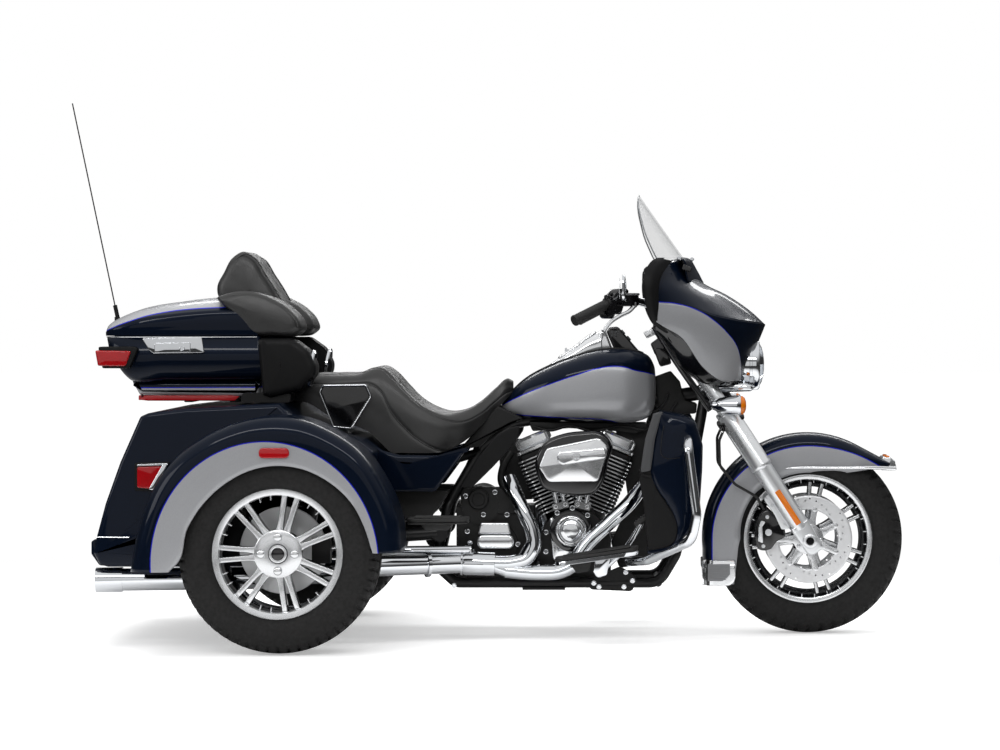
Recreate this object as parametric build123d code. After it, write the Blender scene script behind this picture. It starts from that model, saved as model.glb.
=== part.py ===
"""A touring motor trike: one steered front wheel, a V-twin between the riders' feet, two rear
wheels under wide fenders, a rear trunk, a lidded luggage box with a backrest, and a fork-mounted
fairing with a windshield.

Frame of the part: +X points forward, +Y to the rider's left, +Z up. The origin is on the ground,
under the middle of the whole vehicle's box. All sizes are in millimetres.
"""

import os
from math import atan2, cos, degrees, radians, sin, tan

from build123d import *

# ---- driving dimensions ----------------------------------------------------------------------
FRONT_AXLE_X = 1095
WHEELBASE = 1686
REAR_AXLE_X = FRONT_AXLE_X - WHEELBASE
TYRE_R = 316                      # both tyres stand on the ground, so this is the axles' height
AXLE_Z = TYRE_R
FRONT_TYRE_W = 130
REAR_TYRE_W = 204
REAR_WHEEL_Y = 554                # centre plane of each rear wheel
FRONT_RIM_R = 216
REAR_RIM_R = 204
FORK_ANGLE = 33                   # of the fork legs from the vertical
HEAD_ANGLE = 26                   # of the steering axis from the vertical
TRAIL = 97                        # the steering axis meets the ground this far ahead of the axle
FORK_Y = 121                      # each fork leg's centre from the middle
FORK_SLIDER_R = 32
BODY_HALF_WIDTH = 428             # rear body between the wheels
FENDER_OUTER_Y = 684
WALL = 5                          # moulded body panels
BOX_SEAM_Z = 990                  # where the luggage box meets its lid
BOX_HALF_WIDTH = 295
SLOPE = 20                        # the trunk door leans forward by this angle
ROTOR_IN = 64                     # each rear brake disc, inwards from its wheel's centre plane
JACK_Z = 155                      # underside of the frame's lifting plate
PLATE_BOLTS = 178                 # spacing of the number plate's two bolts
PLATE_BOLT_R = 3.25
AXLE_R = 12.5
FIT = 0.05                        # radial running clearance of a shaft in its hub
GAP = 0.5                         # between panels that only meet


# ---- helpers ---------------------------------------------------------------------------------
def box(x0, x1, y0, y1, z0, z1):
    """A block between two corners."""
    return Pos((x0 + x1) / 2, (y0 + y1) / 2, (z0 + z1) / 2) * Box(x1 - x0, abs(y1 - y0), z1 - z0)


def rod(start, end, radius):
    """A cylinder from one point to another."""
    a, b = Vector(*start), Vector(*end)
    return Solid.make_cylinder(radius, (b - a).length, Plane(origin=a, z_dir=(b - a).normalized()))


def disc(x, y0, y1, z, radius, bore=0):
    """A round plate or ring whose axis runs across the vehicle."""
    made = rod((x, min(y0, y1), z), (x, max(y0, y1), z), radius)
    if bore:
        made = made - rod((x, min(y0, y1) - 1, z), (x, max(y0, y1) + 1, z), bore)
    return made


def ball(x, y, z, radius):
    return Pos(x, y, z) * Sphere(radius)


def prism(points, y0, y1):
    """A side outline of (x, z) points, carried across the vehicle from y0 to y1."""
    low, high = min(y0, y1), max(y0, y1)
    outline = Wire([Line((*a, 0), (*b, 0)).edge() for a, b in zip(points, points[1:] + points[:1])])
    outline = Plane((0, high, 0), x_dir=(1, 0, 0), z_dir=(0, -1, 0)) * Face(outline)
    return extrude(outline, amount=high - low, dir=(0, -1, 0))


def plan(points, z0, z1):
    """A plan outline of (x, y) points, carried up from z0 to z1."""
    outline = Wire([Line((*a, z0), (*b, z0)).edge() for a, b in zip(points, points[1:] + points[:1])])
    return extrude(Face(outline), amount=z1 - z0, dir=(0, 0, 1))


def mirrored(shape):
    """The same shape on the other side of the vehicle."""
    return shape.mirror(Plane.XZ)


def pair(shape):
    return Compound([*solids_of(shape), *solids_of(mirrored(shape))])


def solids_of(shape):
    return shape.solids()


def tube(points, radii, radius):
    """A round bar along straight runs joined by arcs."""
    path = FilletPolyline(*points, radius=radii) if len(points) > 2 else Line(*points)
    return sweep(Plane(origin=path @ 0, z_dir=path % 0) * Circle(radius), path=path)


def struts(points, radius):
    """Straight round bars through the points, with a ball at each bend."""
    made = rod(points[0], points[1], radius)
    for a, b in zip(points[1:], points[2:]):
        made = made + ball(*a, radius) + rod(a, b, radius)
    return made


def section(x, half_width, z_low, z_high, corner):
    """A rounded rectangle across the vehicle at one x."""
    frame = Plane((x, 0, (z_low + z_high) / 2), x_dir=(0, 1, 0), z_dir=(1, 0, 0))
    return frame * RectangleRounded(2 * half_width, z_high - z_low, corner)


def through(stations):
    """A loft through rounded rectangles: x, half width, low z, high z, corner radius."""
    return loft([section(*row) for row in stations])


def across(x):
    """The plane across the vehicle at one x, its own axes being y and z."""
    return Plane((x, 0, 0), x_dir=(0, 1, 0), z_dir=(1, 0, 0))


def lengthwise(y):
    """The plane along the vehicle at one y, its own axes being x and z."""
    return Plane((0, y, 0), x_dir=(1, 0, 0), z_dir=(0, -1, 0))


def sides_of(points):
    """The straight edges of a closed outline."""
    return [Line(a, b).edge() for a, b in zip(points, points[1:] + points[:1])]


def both_halves(rows):
    """Rows that start with their y, from the middle outwards, made a full set from right to left."""
    return [(-y, *rest) for y, *rest in rows[:0:-1]] + list(rows)


def gathered(parts):
    return Compound([solid for part in parts for solid in solids_of(part)])


def upright(x, half_width, z_base, z_side, z_crown):
    """A box section at one x: flat base, straight sides and a crowned top arc."""
    edges = [
        Line((-half_width, z_base), (half_width, z_base)).edge(),
        Line((half_width, z_base), (half_width, z_side)).edge(),
        ThreePointArc((half_width, z_side), (0, z_crown), (-half_width, z_side)).edge(),
        Line((-half_width, z_side), (-half_width, z_base)).edge(),
    ]
    return across(x) * Face(Wire(edges))


def along_fork(height, y=0.0):
    """A point on the fork's line at a height above the ground."""
    return (FRONT_AXLE_X - (height - AXLE_Z) * tan(radians(FORK_ANGLE)), y, height)


def head_point(height):
    """A point on the steering axis at a height above the ground."""
    return (FRONT_AXLE_X + TRAIL - height * tan(radians(HEAD_ANGLE)), 0, height)


# ---- wheels ----------------------------------------------------------------------------------
def ring_of(profile, x, y, z):
    """Turns a closed half profile of edges, drawn as (y, radius), about the wheel's axle."""
    face = Plane((x, y, z), x_dir=(0, 1, 0), z_dir=(1, 0, 0)) * Face(Wire(profile))
    return revolve(face, axis=Axis((x, y, z), (0, 1, 0)), revolution_arc=360)


def tyre(x, y, half_width, bead_r, bead_y, shoulder, crown_r):
    """A tyre: bead, bulged side wall, shoulder and a crowned tread."""
    shoulder_y, shoulder_r = shoulder
    mid_r = (bead_r + shoulder_r) / 2 + 2
    edges = [
        Line((-bead_y, bead_r), (bead_y, bead_r)).edge(),
        ThreePointArc((bead_y, bead_r), (half_width, mid_r), (shoulder_y, shoulder_r)).edge(),
        ThreePointArc((shoulder_y, shoulder_r), (0, crown_r), (-shoulder_y, shoulder_r)).edge(),
        ThreePointArc((-shoulder_y, shoulder_r), (-half_width, mid_r), (-bead_y, bead_r)).edge(),
    ]
    return ring_of(edges, x, y, AXLE_Z)


def rim_band(x, y, outer_r, half_width, lip):
    """The rim: a band with a raised lip on each side."""
    bed_r, inner_r = outer_r - lip, outer_r - lip - 9
    points = [
        (-half_width, inner_r - 4), (half_width, inner_r - 4), (half_width, outer_r),
        (half_width - 7, outer_r), (half_width - 9, bed_r), (-half_width + 9, bed_r),
        (-half_width + 7, outer_r), (-half_width, outer_r),
    ]
    return ring_of(sides_of(points), x, y, AXLE_Z)


def spokes(x, y0, y1, inner_r, outer_r, count, spread, width, start):
    """Pairs of flat spokes between a hub and a rim, as one ring of bars."""
    bars = []
    for i in range(count):
        for side in (-1, 1):
            bar = box(inner_r, outer_r, y0, y1, side * spread - width / 2, side * spread + width / 2)
            bars.append(Pos(x, 0, AXLE_Z) * Rot(0, start + i * 360 / count, 0) * bar)
    return bars


def front_wheel():
    x = FRONT_AXLE_X
    bead = FRONT_RIM_R - 11
    rubber = tyre(x, 0, FRONT_TYRE_W / 2, bead + 0.3, 46, (53, 299), TYRE_R)
    rim = rim_band(x, 0, FRONT_RIM_R, 50, 13)
    rubber = rubber - rim
    hub = disc(x, -64, 64, AXLE_Z, 34) + disc(x, -30, 30, AXLE_Z, 46)
    bars = spokes(x, -26, 26, 30, bead - 8, 7, 12, 9, 13)
    rim = (rim + hub + bars) - disc(x, -70, 70, AXLE_Z, AXLE_R + FIT)
    rotor = disc(x, -75, -70, AXLE_Z, 145, 98) + disc(x, -75, -64.2, AXLE_Z, 50, 20)
    for i in range(5):
        arm = box(44, 104, -74, -71, -7, 7)
        rotor = rotor + Pos(x, 0, AXLE_Z) * Rot(0, i * 72, 0) * arm
    return rubber, rim, pair(rotor)


def rear_wheel():
    """The right wheel: tyre, and the rim with its hub, brake disc and drive shaft end."""
    x, y = REAR_AXLE_X, -REAR_WHEEL_Y
    rubber = tyre(x, y, REAR_TYRE_W / 2, REAR_RIM_R - 12.7, 84, (88, 304), TYRE_R)
    rim = rim_band(x, y, REAR_RIM_R, 88, 13)
    rubber = rubber - rim
    face = y - 62
    hub = disc(x, face - 12, face + 40, AXLE_Z, 74) + disc(x, face + 40, y + 62, AXLE_Z, 58)
    bars = spokes(x, face - 8, face + 22, 60, REAR_RIM_R - 20, 7, 14, 9, 14)
    rotor = disc(x, y + ROTOR_IN - 4, y + ROTOR_IN + 4, AXLE_Z, 138)
    shaft = disc(x, y + 66, y + 150, AXLE_Z, 17)
    return rubber, rim + hub + bars + rotor + shaft


# ---- frame, engine and drive -----------------------------------------------------------------
def frame():
    """Tubular frame: steering head, backbone, down tubes, lower rails and rear legs."""
    made = rod(head_point(752), head_point(884), 32)
    made = made + rod((745, 0, 800), (560, 0, 772), 24)
    made = made + tube([(570, 0, 774), (110, 0, 700), (8, 0, 622), (-30, 0, 540)], [90, 50], 21)
    for side in (-1, 1):
        rails = [
            (756, side * 16, 800), (655, side * 126, 270), (600, side * 132, 178), (-70, side * 132, 178),
            (-138, side * 132, 240), (-96, side * 118, 430), (0, side * 20, 600),
        ]
        seat_rail = [
            (0, side * 20, 600), (-90, side * 105, 576), (-292, side * 105, 560),
            (-286, side * 140, 250), (-130, side * 132, 222),
        ]
        made = made + tube(rails, [60, 60, 40, 60, 60], 17) + tube(seat_rail, [30, 40, 50], 13)
    for x, z, reach in ((596, 178, 132), (-60, 178, 132), (-284, 256, 138)):
        made = made + rod((x, -reach, z), (x, reach, z), 14)
    jack_plate = box(150, 290, -146, 146, JACK_Z, 163)
    return (made + jack_plate) - rod(head_point(690), head_point(960), 20)


CRANK = (322, 300)                # x, z of the crankshaft
V_ANGLE = 45
CASE_R = 118                      # of the crankcase
BARREL_R = 56
FIRST_FIN = 132                   # the fins start this far from the crankshaft
FIN_STEP = 12.4
FIN_COUNT = 16
BARREL_FINS = 10                  # the fins beyond these stand on the head
FIN_THICK = 4.2


def crankcase_crown(grow):
    """The block between the two barrels' feet."""
    x, half_low, half_high = CRANK[0], 80 + grow, 60 + grow
    foot = [(x - half_low, 330), (x + half_low, 330)]
    top = [(x + half_high, 420 + grow), (x - half_high, 420 + grow)]
    return prism(foot + top, -85 - grow, 85 + grow)


def engine_cases():
    """Crankcase, oil pan and gearbox as one casting."""
    x, z = CRANK
    case = disc(x, -95, 105, z, CASE_R) + box(x - CASE_R, x + CASE_R, -92, 100, 200, z)
    case = case + box(-70, 186, -88, 100, 205, 425) + crankcase_crown(0)
    case = case + disc(10, -100, 100, 430, 62) + disc(60, -104, 90, 300, 70)
    return case + box(-60, 420, -80, 80, 196, 210)


def cylinder(side):
    """One finned barrel and head. side is -1 for the rear cylinder and 1 for the front one."""
    lean = side * V_ANGLE / 2
    made = Pos(0, 0, 190) * Cylinder(BARREL_R, 150) + Pos(0, 0, 292) * Box(128, 150, 90)
    for i in range(FIN_COUNT):
        fin = RectangleRounded(150, 158, 34) if i < BARREL_FINS else RectangleRounded(146, 164, 22)
        made = made + Pos(0, 0, FIRST_FIN + i * FIN_STEP) * extrude(fin, amount=FIN_THICK)
    made = Pos(CRANK[0], 0, CRANK[1]) * Rot(0, lean, 0) * made
    near, far = sorted((CRANK[0] + side, CRANK[0] + side * 400))
    return (made & box(near, far, -200, 200, 300, 800)) - engine_cases_cutter()


def engine_cases_cutter():
    """The space under the barrels that the crankcase fills."""
    x, z = CRANK
    return disc(x, -130, 130, z, CASE_R + GAP) + crankcase_crown(GAP)


def rocker_cover(side):
    """The rounded cover on top of one cylinder head."""
    lean = side * V_ANGLE / 2
    shell = Pos(0, 0, 366) * Box(132, 150, 46)
    shell = fillet(shell.edges().filter_by(Axis.Z), 22)
    shell = fillet(shell.faces().sort_by(Axis.Z)[-1].edges(), 12)
    return Pos(CRANK[0], 0, CRANK[1]) * Rot(0, lean, 0) * shell


def air_cleaner():
    """Teardrop cover on the right side, standing off the cylinders, with its dish behind."""
    outline = [
        (195, 563), (213, 616), (273, 666), (400, 668), (441, 627), (437, 582), (402, 478), (355, 466),
        (262, 480), (208, 515),
    ]
    plate = prism(outline, -118, -196)
    inner = [(x + (320 - x) * 0.1, z + (572 - z) * 0.12) for x, z in outline]
    cover = prism(inner, -196, -214)
    neck = disc(322, -88, -118, 560, 44)
    return plate + cover + neck


def engine_covers():
    """Bright covers on the right: cam cover, gearbox cover and tappet blocks."""
    x = 311
    cam = disc(x, -95.2, -128, 352, 70) + disc(x, -128, -138, 352, 48)
    side = prism([(1, 296), (120, 296), (116, 336), (100, 384), (18, 384), (4, 336)], -104.5, -128)
    made = [cam, side]
    for side_x in (-1, 1):
        a = radians(side_x * 14)
        foot = (x + side_x * 34, -104, 420)
        block = Pos(*foot) * Rot(0, degrees(a), 0) * Box(54, 30, 22)
        made.append(block - disc(CRANK[0], -130, 130, CRANK[1], CASE_R + GAP))
    return gathered(made)


def primary_cover():
    """The long chain case on the left side."""
    outline = [(40, 205), (330, 205), (400, 240), (400, 360), (330, 405), (60, 405), (-20, 360), (-20, 250)]
    case = prism(outline, 105.5, 172)
    case = fillet(case.faces().sort_by(Axis.Y)[-1].edges(), 14)
    return case + disc(322, 172, 180, 300, 62) + disc(30, 172, 178, 305, 46)


HEADER_R = 21
CROSSOVER_R = 15
MUFFLER_R = 36
TIP_R = 40
TIP_BORE_R = 33


def exhaust_pipes():
    """Two headers that meet ahead of the right muffler, and the crossover to the left one."""
    rear_path = [(112, -92, 512), (152, -160, 425), (196, -172, 330), (150, -176, 250), (45, -178, 246)]
    front_path = [
        (545, -92, 498), (500, -150, 440), (340, -162, 282), (296, -176, 222), (110, -176, 218),
        (45, -178, 240),
    ]
    cross_path = [
        (-16, -180, 290), (-300, -196, 288), (-372, -140, 276), (-372, 150, 262), (-432, 300, 220),
    ]
    rear = tube(rear_path, [40, 45, 45], HEADER_R)
    front = tube(front_path, [30, 60, 40, 60], HEADER_R)
    cross = tube(cross_path, [50, 50, 60], CROSSOVER_R)
    collector = rod((60, -178, 243), (-30, -182, 246), 38)
    return rear + front + collector + cross + rod((-16, -182, 246), (-18, -180, 292), CROSSOVER_R)


def slash_cut_tip(side):
    tip = rod((-1118, side * 380, 212), (-1203, side * 386, 211), TIP_R)
    return tip - rod((-1150, side * 382, 211.5), (-1210, side * 386.5, 211), TIP_BORE_R)


def mufflers():
    """A muffler on each side, under the body, with an open tip; the right one meets the collector."""
    right = struts([(-31, -182, 246), (-330, -296, 246), (-700, -345, 214)], 32)
    left = rod((-424, 300, 218), (-700, 345, 214), 32)
    for side in (-1, 1):
        body = rod((-440, side * 311, 236 if side < 0 else 215), (-700, side * 345, 214), MUFFLER_R)
        body = body + rod((-700, side * 345, 214), (-1120, side * 380, 212), MUFFLER_R)
        body = body + ball(-700, side * 345, 214, MUFFLER_R)
        if side < 0:
            right = right + body + slash_cut_tip(side)
        else:
            left = left + body + slash_cut_tip(side)
    pipes = exhaust_pipes()
    return gathered([right - pipes, left - pipes])


def rear_axle():
    """Live axle: final drive housing, axle tubes, brake calipers, trailing arms and shocks."""
    x, z = REAR_AXLE_X, AXLE_Z
    made = disc(x, -92, 92, z, 108) + disc(x, -400, 400, z, 40) + disc(x, 92, 130, z, 84)
    for side in (-1, 1):
        arm = rod((x, side * 190, z), (-128, side * 172, 345), 22)
        arm = arm + disc(-118, side * 150, side * 190, 345, 28)
        shock = rod((x + 40, side * 250, z + 20), (-524, side * 250, 464), 26)
        rotor_y = side * (REAR_WHEEL_Y - ROTOR_IN)
        caliper = box(x + 92, x + 150, side * 466, side * 514, z - 40, z + 40)
        caliper = caliper - box(x + 80, x + 143, rotor_y - 9, rotor_y + 9, z - 50, z + 50)
        lug = box(x, x + 120, side * 467, side * 478, z - 14, z + 14)
        made = made + disc(x, side * 396, side * 470, z, 48) + arm + shock + caliper + lug
        made = made - disc(x, side * 380, side * 490, z, 17 + FIT)
    return made


# ---- tank, seat and side panels --------------------------------------------------------------
# x, half width, low z, high z, corner radius
TANK_STATIONS = [
    (74, 26, 733, 766, 12), (160, 84, 722, 850, 40), (290, 134, 714, 913, 62), (420, 158, 706, 945, 78),
    (510, 152, 700, 944, 80), (566, 118, 716, 926, 72), (586, 84, 748, 896, 60),
]
CONSOLE = [
    (112, 790), (119, 818), (301, 937), (355, 980), (409, 1010), (440, 1012), (549, 913), (549, 860),
    (300, 860),
]
FUEL_DOOR = [(262, 913), (301, 937), (355, 980), (392, 1001)]


def backbone_tunnel():
    """The groove along the tank's belly for the backbone and the steering head."""
    return prism([(60, 660), (700, 660), (700, 860), (560, 812), (90, 740)], -34, 34)


def fuel_tank():
    return through(TANK_STATIONS) - backbone_tunnel()


def tank_console():
    made = prism(CONSOLE, -46, 46) - through(TANK_STATIONS)
    return max(solids_of(made), key=lambda s: s.volume)


def lifted(points, rise):
    return [(x - rise * 0.55, z + rise * 0.83) for x, z in points]


def fuel_door():
    low, high = lifted(FUEL_DOOR, 0.4), lifted(FUEL_DOOR, 7)
    return prism(low + high[::-1], -32, 32)


BODY_TOP_FRONT = [(-612, 775), (-567, 732), (-419, 667), (-355, 656), (-285, 604)]
SEAT_TOP = [
    (-590, 858), (-492, 862), (-378, 870), (-331, 880), (-301, 880), (-259, 835), (-212, 782),
    (-158, 752), (-104, 738), (-45, 746), (21, 785), (81, 841), (102, 849), (112, 836),
]
SEAT_BASE = [(70, 770), (50, 735), (-30, 650), (-60, 632), (-111, 604), (-285, 607)]


def seat():
    """Rider's dished seat and the passenger's step behind it, as one cushion."""
    outline = SEAT_TOP + SEAT_BASE + [(x, z + 3) for x, z in BODY_TOP_FRONT[::-1][1:]] + [(-612, 800)]
    made = prism(outline, -188, 188)
    edge = [(118, 40), (60, 78), (-20, 118), (-120, 172), (-240, 186), (-330, 176), (-612, 164)]
    shape = plan(edge + [(x, -y) for x, y in edge[::-1]], 560, 900)
    return made & shape


def side_panels():
    """Painted panels under the seat, open on the inside."""
    outline = [(-309, 600), (-285, 596), (-111, 593), (-22, 622), (-129, 482), (-330, 482)]
    centre_x, centre_z = -200, 550
    inside = [(x + (centre_x - x) * 0.04, z + (centre_z - z) * 0.08) for x, z in outline]
    return pair(prism(outline, -196, -250) - prism(inside, -190, -245))


def heat_deflectors():
    """Dark blades between the seat and the engine."""
    outline = [(146, 700), (76, 672), (3, 590), (-52, 497), (-14, 491), (55, 561), (114, 620)]
    return pair(prism(outline, -196, -206))


# ---- rear body -------------------------------------------------------------------------------
REAR_FACE = [(-1197, 345), (-1167, 458), (-1120, 590), (-1056, 735)]


def body_outline(inset, door_inset):
    """The rear body from the side: trunk behind the axle, bridge over it, nose under the seat."""
    i, d = inset, door_inset
    rear = [(x + d * 0.94, z - d * 0.34 + i * 0.3) for x, z in REAR_FACE]
    top = [(-1030 + d, 746 - i), (-915, 760 - i), (-616, 775 - i), (-571, 732 - i)]
    nose = [(-422, 667 - i), (-357, 656 - i), (-312 - i, 622 - i), (-335 - i, 490 + i)]
    floor = [(-700 - i, 470 + i), (-716 - i, 258 + i), (-1160, 256 + i)]
    return rear, top + nose, floor


def body_solid(inset, door_inset):
    rear, top, floor = body_outline(inset, door_inset)
    back = [(-1186 + door_inset, 264 + inset)] if inset else [(-1186, 264), (-1204, 300)]
    return prism(rear + top + floor + back, -BODY_HALF_WIDTH + inset, BODY_HALF_WIDTH - inset)


DOOR_Y = 318
DOOR_Z = (352, 716)
DOOR_THICK = 24


def door_block(grow):
    """The opening of the trunk door, square to the sloping rear face."""
    lean = tan(radians(SLOPE))
    low, high = DOOR_Z[0] - grow, DOOR_Z[1] + grow
    top_edge = [(-1000, high - 64 * lean), (-1180, high + 116 * lean)]
    outline = [(-1260, low + 20 * lean), (-1130, low - 20 * lean)] + top_edge
    return prism(outline, -DOOR_Y - grow, DOOR_Y + grow)


def trunk_shell():
    return body_solid(0, 0) - body_solid(WALL, DOOR_THICK)


BUMPER = [
    (-1205, 342), (-1216, 336), (-1216, 296), (-1190, 259), (-1160, 256), (-1186, 264), (-1203, 300),
    (-1198, 342),
]


def rear_body():
    """Trunk and body shell with the rear bumper roll along its foot."""
    shell = trunk_shell() - door_block(3)
    made = shell + prism(BUMPER, -400, 400)
    for side in (-1, 1):
        y = side * PLATE_BOLTS / 2
        made = made - rod((-1230, y, 316), (-1190, y, 316), PLATE_BOLT_R)
    return made


def trunk_door():
    return trunk_shell() & door_block(0)


FENDER_OUTER = [
    (-1048, 262), (-1024, 389), (-966, 538), (-880, 640), (-774, 703), (-660, 738), (-591, 743),
    (-520, 735), (-436, 703), (-334, 635), (-266, 540), (-216, 423), (-205, 322),
]


def fender():
    """Right rear fender: a deep arch over the wheel with its own inner wall and outer skirt."""
    centre_x, centre_z = REAR_AXLE_X - 20, 300
    inner = []
    for x, z in FENDER_OUTER:
        reach = ((x - centre_x) ** 2 + (z - centre_z) ** 2) ** 0.5
        inner.append((x + (centre_x - x) * WALL / reach, z + (centre_z - z) * WALL / reach))
    outer = prism(FENDER_OUTER, -BODY_HALF_WIDTH - GAP, -FENDER_OUTER_Y)
    crown = [e for e in outer.faces().sort_by(Axis.Y)[0].edges() if e.center().Z > 330]
    outer = chamfer(crown, 34, 26)
    inner[0] = (inner[0][0], 200)
    inner[-1] = (inner[-1][0], 200)
    hollow = prism(inner, -BODY_HALF_WIDTH - GAP - WALL, -FENDER_OUTER_Y + 36)
    deep = [(x + (centre_x - x) * 0.085, z + (centre_z - z) * 0.085) for x, z in inner]
    deep[0], deep[-1] = (deep[0][0], 200), (deep[-1][0], 200)
    hollow = hollow + prism(deep, -FENDER_OUTER_Y + 38, -FENDER_OUTER_Y + WALL)
    opening = disc(REAR_AXLE_X + 4, -FENDER_OUTER_Y - 5, -FENDER_OUTER_Y + 60, 304, 290)
    opening = opening + box(-887, -290, -FENDER_OUTER_Y - 5, -FENDER_OUTER_Y + 60, 200, 316)
    opening = opening + box(-716, -345, -BODY_HALF_WIDTH - 10, -BODY_HALF_WIDTH, 200, 480)
    return max(solids_of(outer - hollow - opening), key=lambda s: s.volume)


def red_lamps():
    """Tail lamps at the body's corners, luggage box lamps and the strip under the box."""
    body_y, box_y = -BODY_HALF_WIDTH, -BOX_HALF_WIDTH
    tail = prism([(-1064, 508), (-1064, 582), (-975, 588), (-1009, 505)], body_y - GAP, body_y - 26)
    side_lens = [(-1226, 955), (-1216, 892), (-1110, 888), (-1085, 955)]
    rear_lens = [(-1226, 955), (-1216, 892), (-1190, 892), (-1190, 955)]
    corner = prism(side_lens, box_y + 10, box_y - 14) + prism(rear_lens, box_y + 90, box_y + 10)
    corner = corner - box_outer()
    marker = box(-642, -550, -FENDER_OUTER_Y - 7, -FENDER_OUTER_Y - GAP, 617, 647)
    return gathered([pair(tail), pair(corner), pair(marker)])


# ---- luggage box -----------------------------------------------------------------------------
# x, half width at the seam, crown height at the sides, crown height in the middle
LID_STATIONS = [
    (-1206, 222, 1008, 1018), (-1184, 266, 1022, 1046), (-1120, 288, 1040, 1076),
    (-980, 295, 1062, 1104), (-840, 295, 1074, 1119), (-700, 286, 1074, 1114),
]
BOX_FLARE = 26                    # the box is this much narrower at its foot than at its seam


def box_section(x, half_width, low, high):
    """The luggage box across the vehicle at one x."""
    foot = half_width - BOX_FLARE
    points = [(-foot, low), (foot, low), (half_width, high), (-half_width, high)]
    return across(x) * Face(Wire(sides_of(points)))


def box_outer():
    """The luggage box's outside below the seam, widening upwards."""
    rows = [
        (-1200, 226, 969), (-1180, 266, 939), (-1118, 289, 846), (-980, 295, 846), (-840, 295, 846),
        (-690, 292, 846),
    ]
    return loft([box_section(*row, BOX_SEAM_Z) for row in rows])


def luggage_box():
    """Open box with its foot tray and the two posts that carry it."""
    rows = [(-1186, 232, 962), (-1118, 284, 852), (-980, 290, 852), (-840, 290, 852), (-695, 287, 852)]
    shell = box_outer() - loft([box_section(*row, BOX_SEAM_Z + 1) for row in rows])
    tray = prism([(-1122, 845.9), (-1098, 796), (-770, 790), (-700, 800), (-700, 845.9)], -226, 226)
    posts = box(-960, -780, -150, 150, 773, 796)
    return shell + tray + posts


def lid_outer(rise=0.0):
    sections = []
    for x, half_width, side, crown in LID_STATIONS:
        sections.append(upright(x, half_width + rise, BOX_SEAM_Z + 1, side + rise, crown + rise))
    return loft(sections)


def luggage_lid():
    inner_rows = [(x + (8 if i == 0 else 0) - (WALL if i == 5 else 0), w - WALL, side - WALL, top - WALL)
                  for i, (x, w, side, top) in enumerate(LID_STATIONS)]
    inner = loft([upright(x, w, BOX_SEAM_Z, side, top) for x, w, side, top in inner_rows])
    return lid_outer() - inner


BACK_MIDDLE = [
    (-868, 1126), (-868, 1143), (-842, 1236), (-784, 1271), (-739, 1250), (-647, 1128), (-610, 1060),
    (-600, 996), (-692, 996), (-692, 1122),
]
BACK_WING = [
    (-790, 1108), (-780, 1128), (-700, 1132), (-600, 1092), (-559, 1040), (-559, 996), (-692, 996),
    (-692, 1108),
]


def backrest():
    """Padded backrest: a tall middle and two wings that wrap the passenger."""
    made = prism(BACK_MIDDLE, -135, 135) + prism(BACK_WING, -284, 284)
    return made - lid_outer(0.5) - box(-900, -699, -320, 320, 980, 1100)


def speaker_pods():
    """Rear speaker housings that wrap the front corners of the box."""
    outline = [
        (-700, 984), (-587, 984), (-535, 945), (-512, 896), (-514, 866), (-564, 814), (-661, 788),
        (-686, 799),
    ]
    return pair(prism(outline, -190, -300) - box_outer())


def antenna():
    """Whip antenna on its foot at the box's left rear corner."""
    foot = rod((-1252, 246, 1046), (-1262, 246, 1092), 7)
    whip = rod((-1261, 246, 1086), (-1408, 246, 1784), 2.2)
    bracket = box(-1262, -1206.5, 238, 254, 962, 972) + box(-1262, -1246, 238, 254, 962, 1052)
    return foot + whip + bracket


# ---- lower fairings, guard and footboards ----------------------------------------------------
GUARD_PATH = [
    (690, -300, 690), (688, -396, 640), (716, -402, 420), (700, -392, 338), (560, -250, 262),
    (500, -165, 250),
]


def lower_fairings():
    """Leg shields either side of the down tubes, each a hollow bowl open to the rear."""
    outline = [
        (600, 750), (717, 727), (739, 615), (726, 493), (714, 380), (654, 316), (560, 300), (548, 440),
        (530, 540), (560, 660),
    ]
    inside = [
        (594, 744), (711, 721), (733, 615), (720, 493), (708, 382), (652, 322), (540, 306), (500, 440),
        (500, 540), (500, 660),
    ]
    rake = prism(outline, -190, -372) - prism(inside, -198, -366)
    bar = struts(GUARD_PATH, 19)
    return pair(rake - bar)


def engine_guard():
    """Bright crash bar loop that runs outside both leg shields."""
    return pair(tube(GUARD_PATH, [40, 60, 50, 60], 16))


def footboards():
    """Rider's and passenger's boards on their brackets, with the two pedals."""
    rider = prism([(257, 262), (262, 250), (532, 290), (536, 302), (524, 312), (258, 274)], -262, -372)
    hanger = box(360, 430, -262, -178, 236, 250)
    hanger = hanger + prism([(370, 262), (420, 270), (420, 240), (370, 240)], -262, -270)
    board = [(-210, 402), (-200, 390), (-30, 390), (-9, 404), (-14, 414), (-205, 414)]
    passenger = prism(board, -330, -436)
    arm = rod((-120, -330, 396), (-120, -200, 380), 12)
    pedal = rod((500, -240, 262), (575, -262, 352), 8) + box(548, 596, -330, -262, 352, 366)
    return gathered([pair(rider + hanger), pair(passenger + arm), pair(pedal)])


# ---- steered assembly ------------------------------------------------------------------------
def fork():
    """Fork legs, clamps, steering stem and the front axle."""
    made = rod((FRONT_AXLE_X, -146, AXLE_Z), (FRONT_AXLE_X, 146, AXLE_Z), AXLE_R)
    for side in (-1, 1):
        y = side * FORK_Y
        made = made + rod(along_fork(AXLE_Z - 26, y), along_fork(560, y), FORK_SLIDER_R)
        made = made + rod(along_fork(560, y), along_fork(735, y), 35)
        made = made + rod(along_fork(735, y), along_fork(945, y), 25)
    for height, reach in ((708, 28), (930, 24)):
        x, _, z = along_fork(height)
        plate = Pos(x, 0, z) * Rot(0, -FORK_ANGLE, 0) * Box(96, 2 * FORK_Y + 60, reach)
        made = made + plate
    return made + rod(head_point(705), head_point(935), 16)


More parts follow.
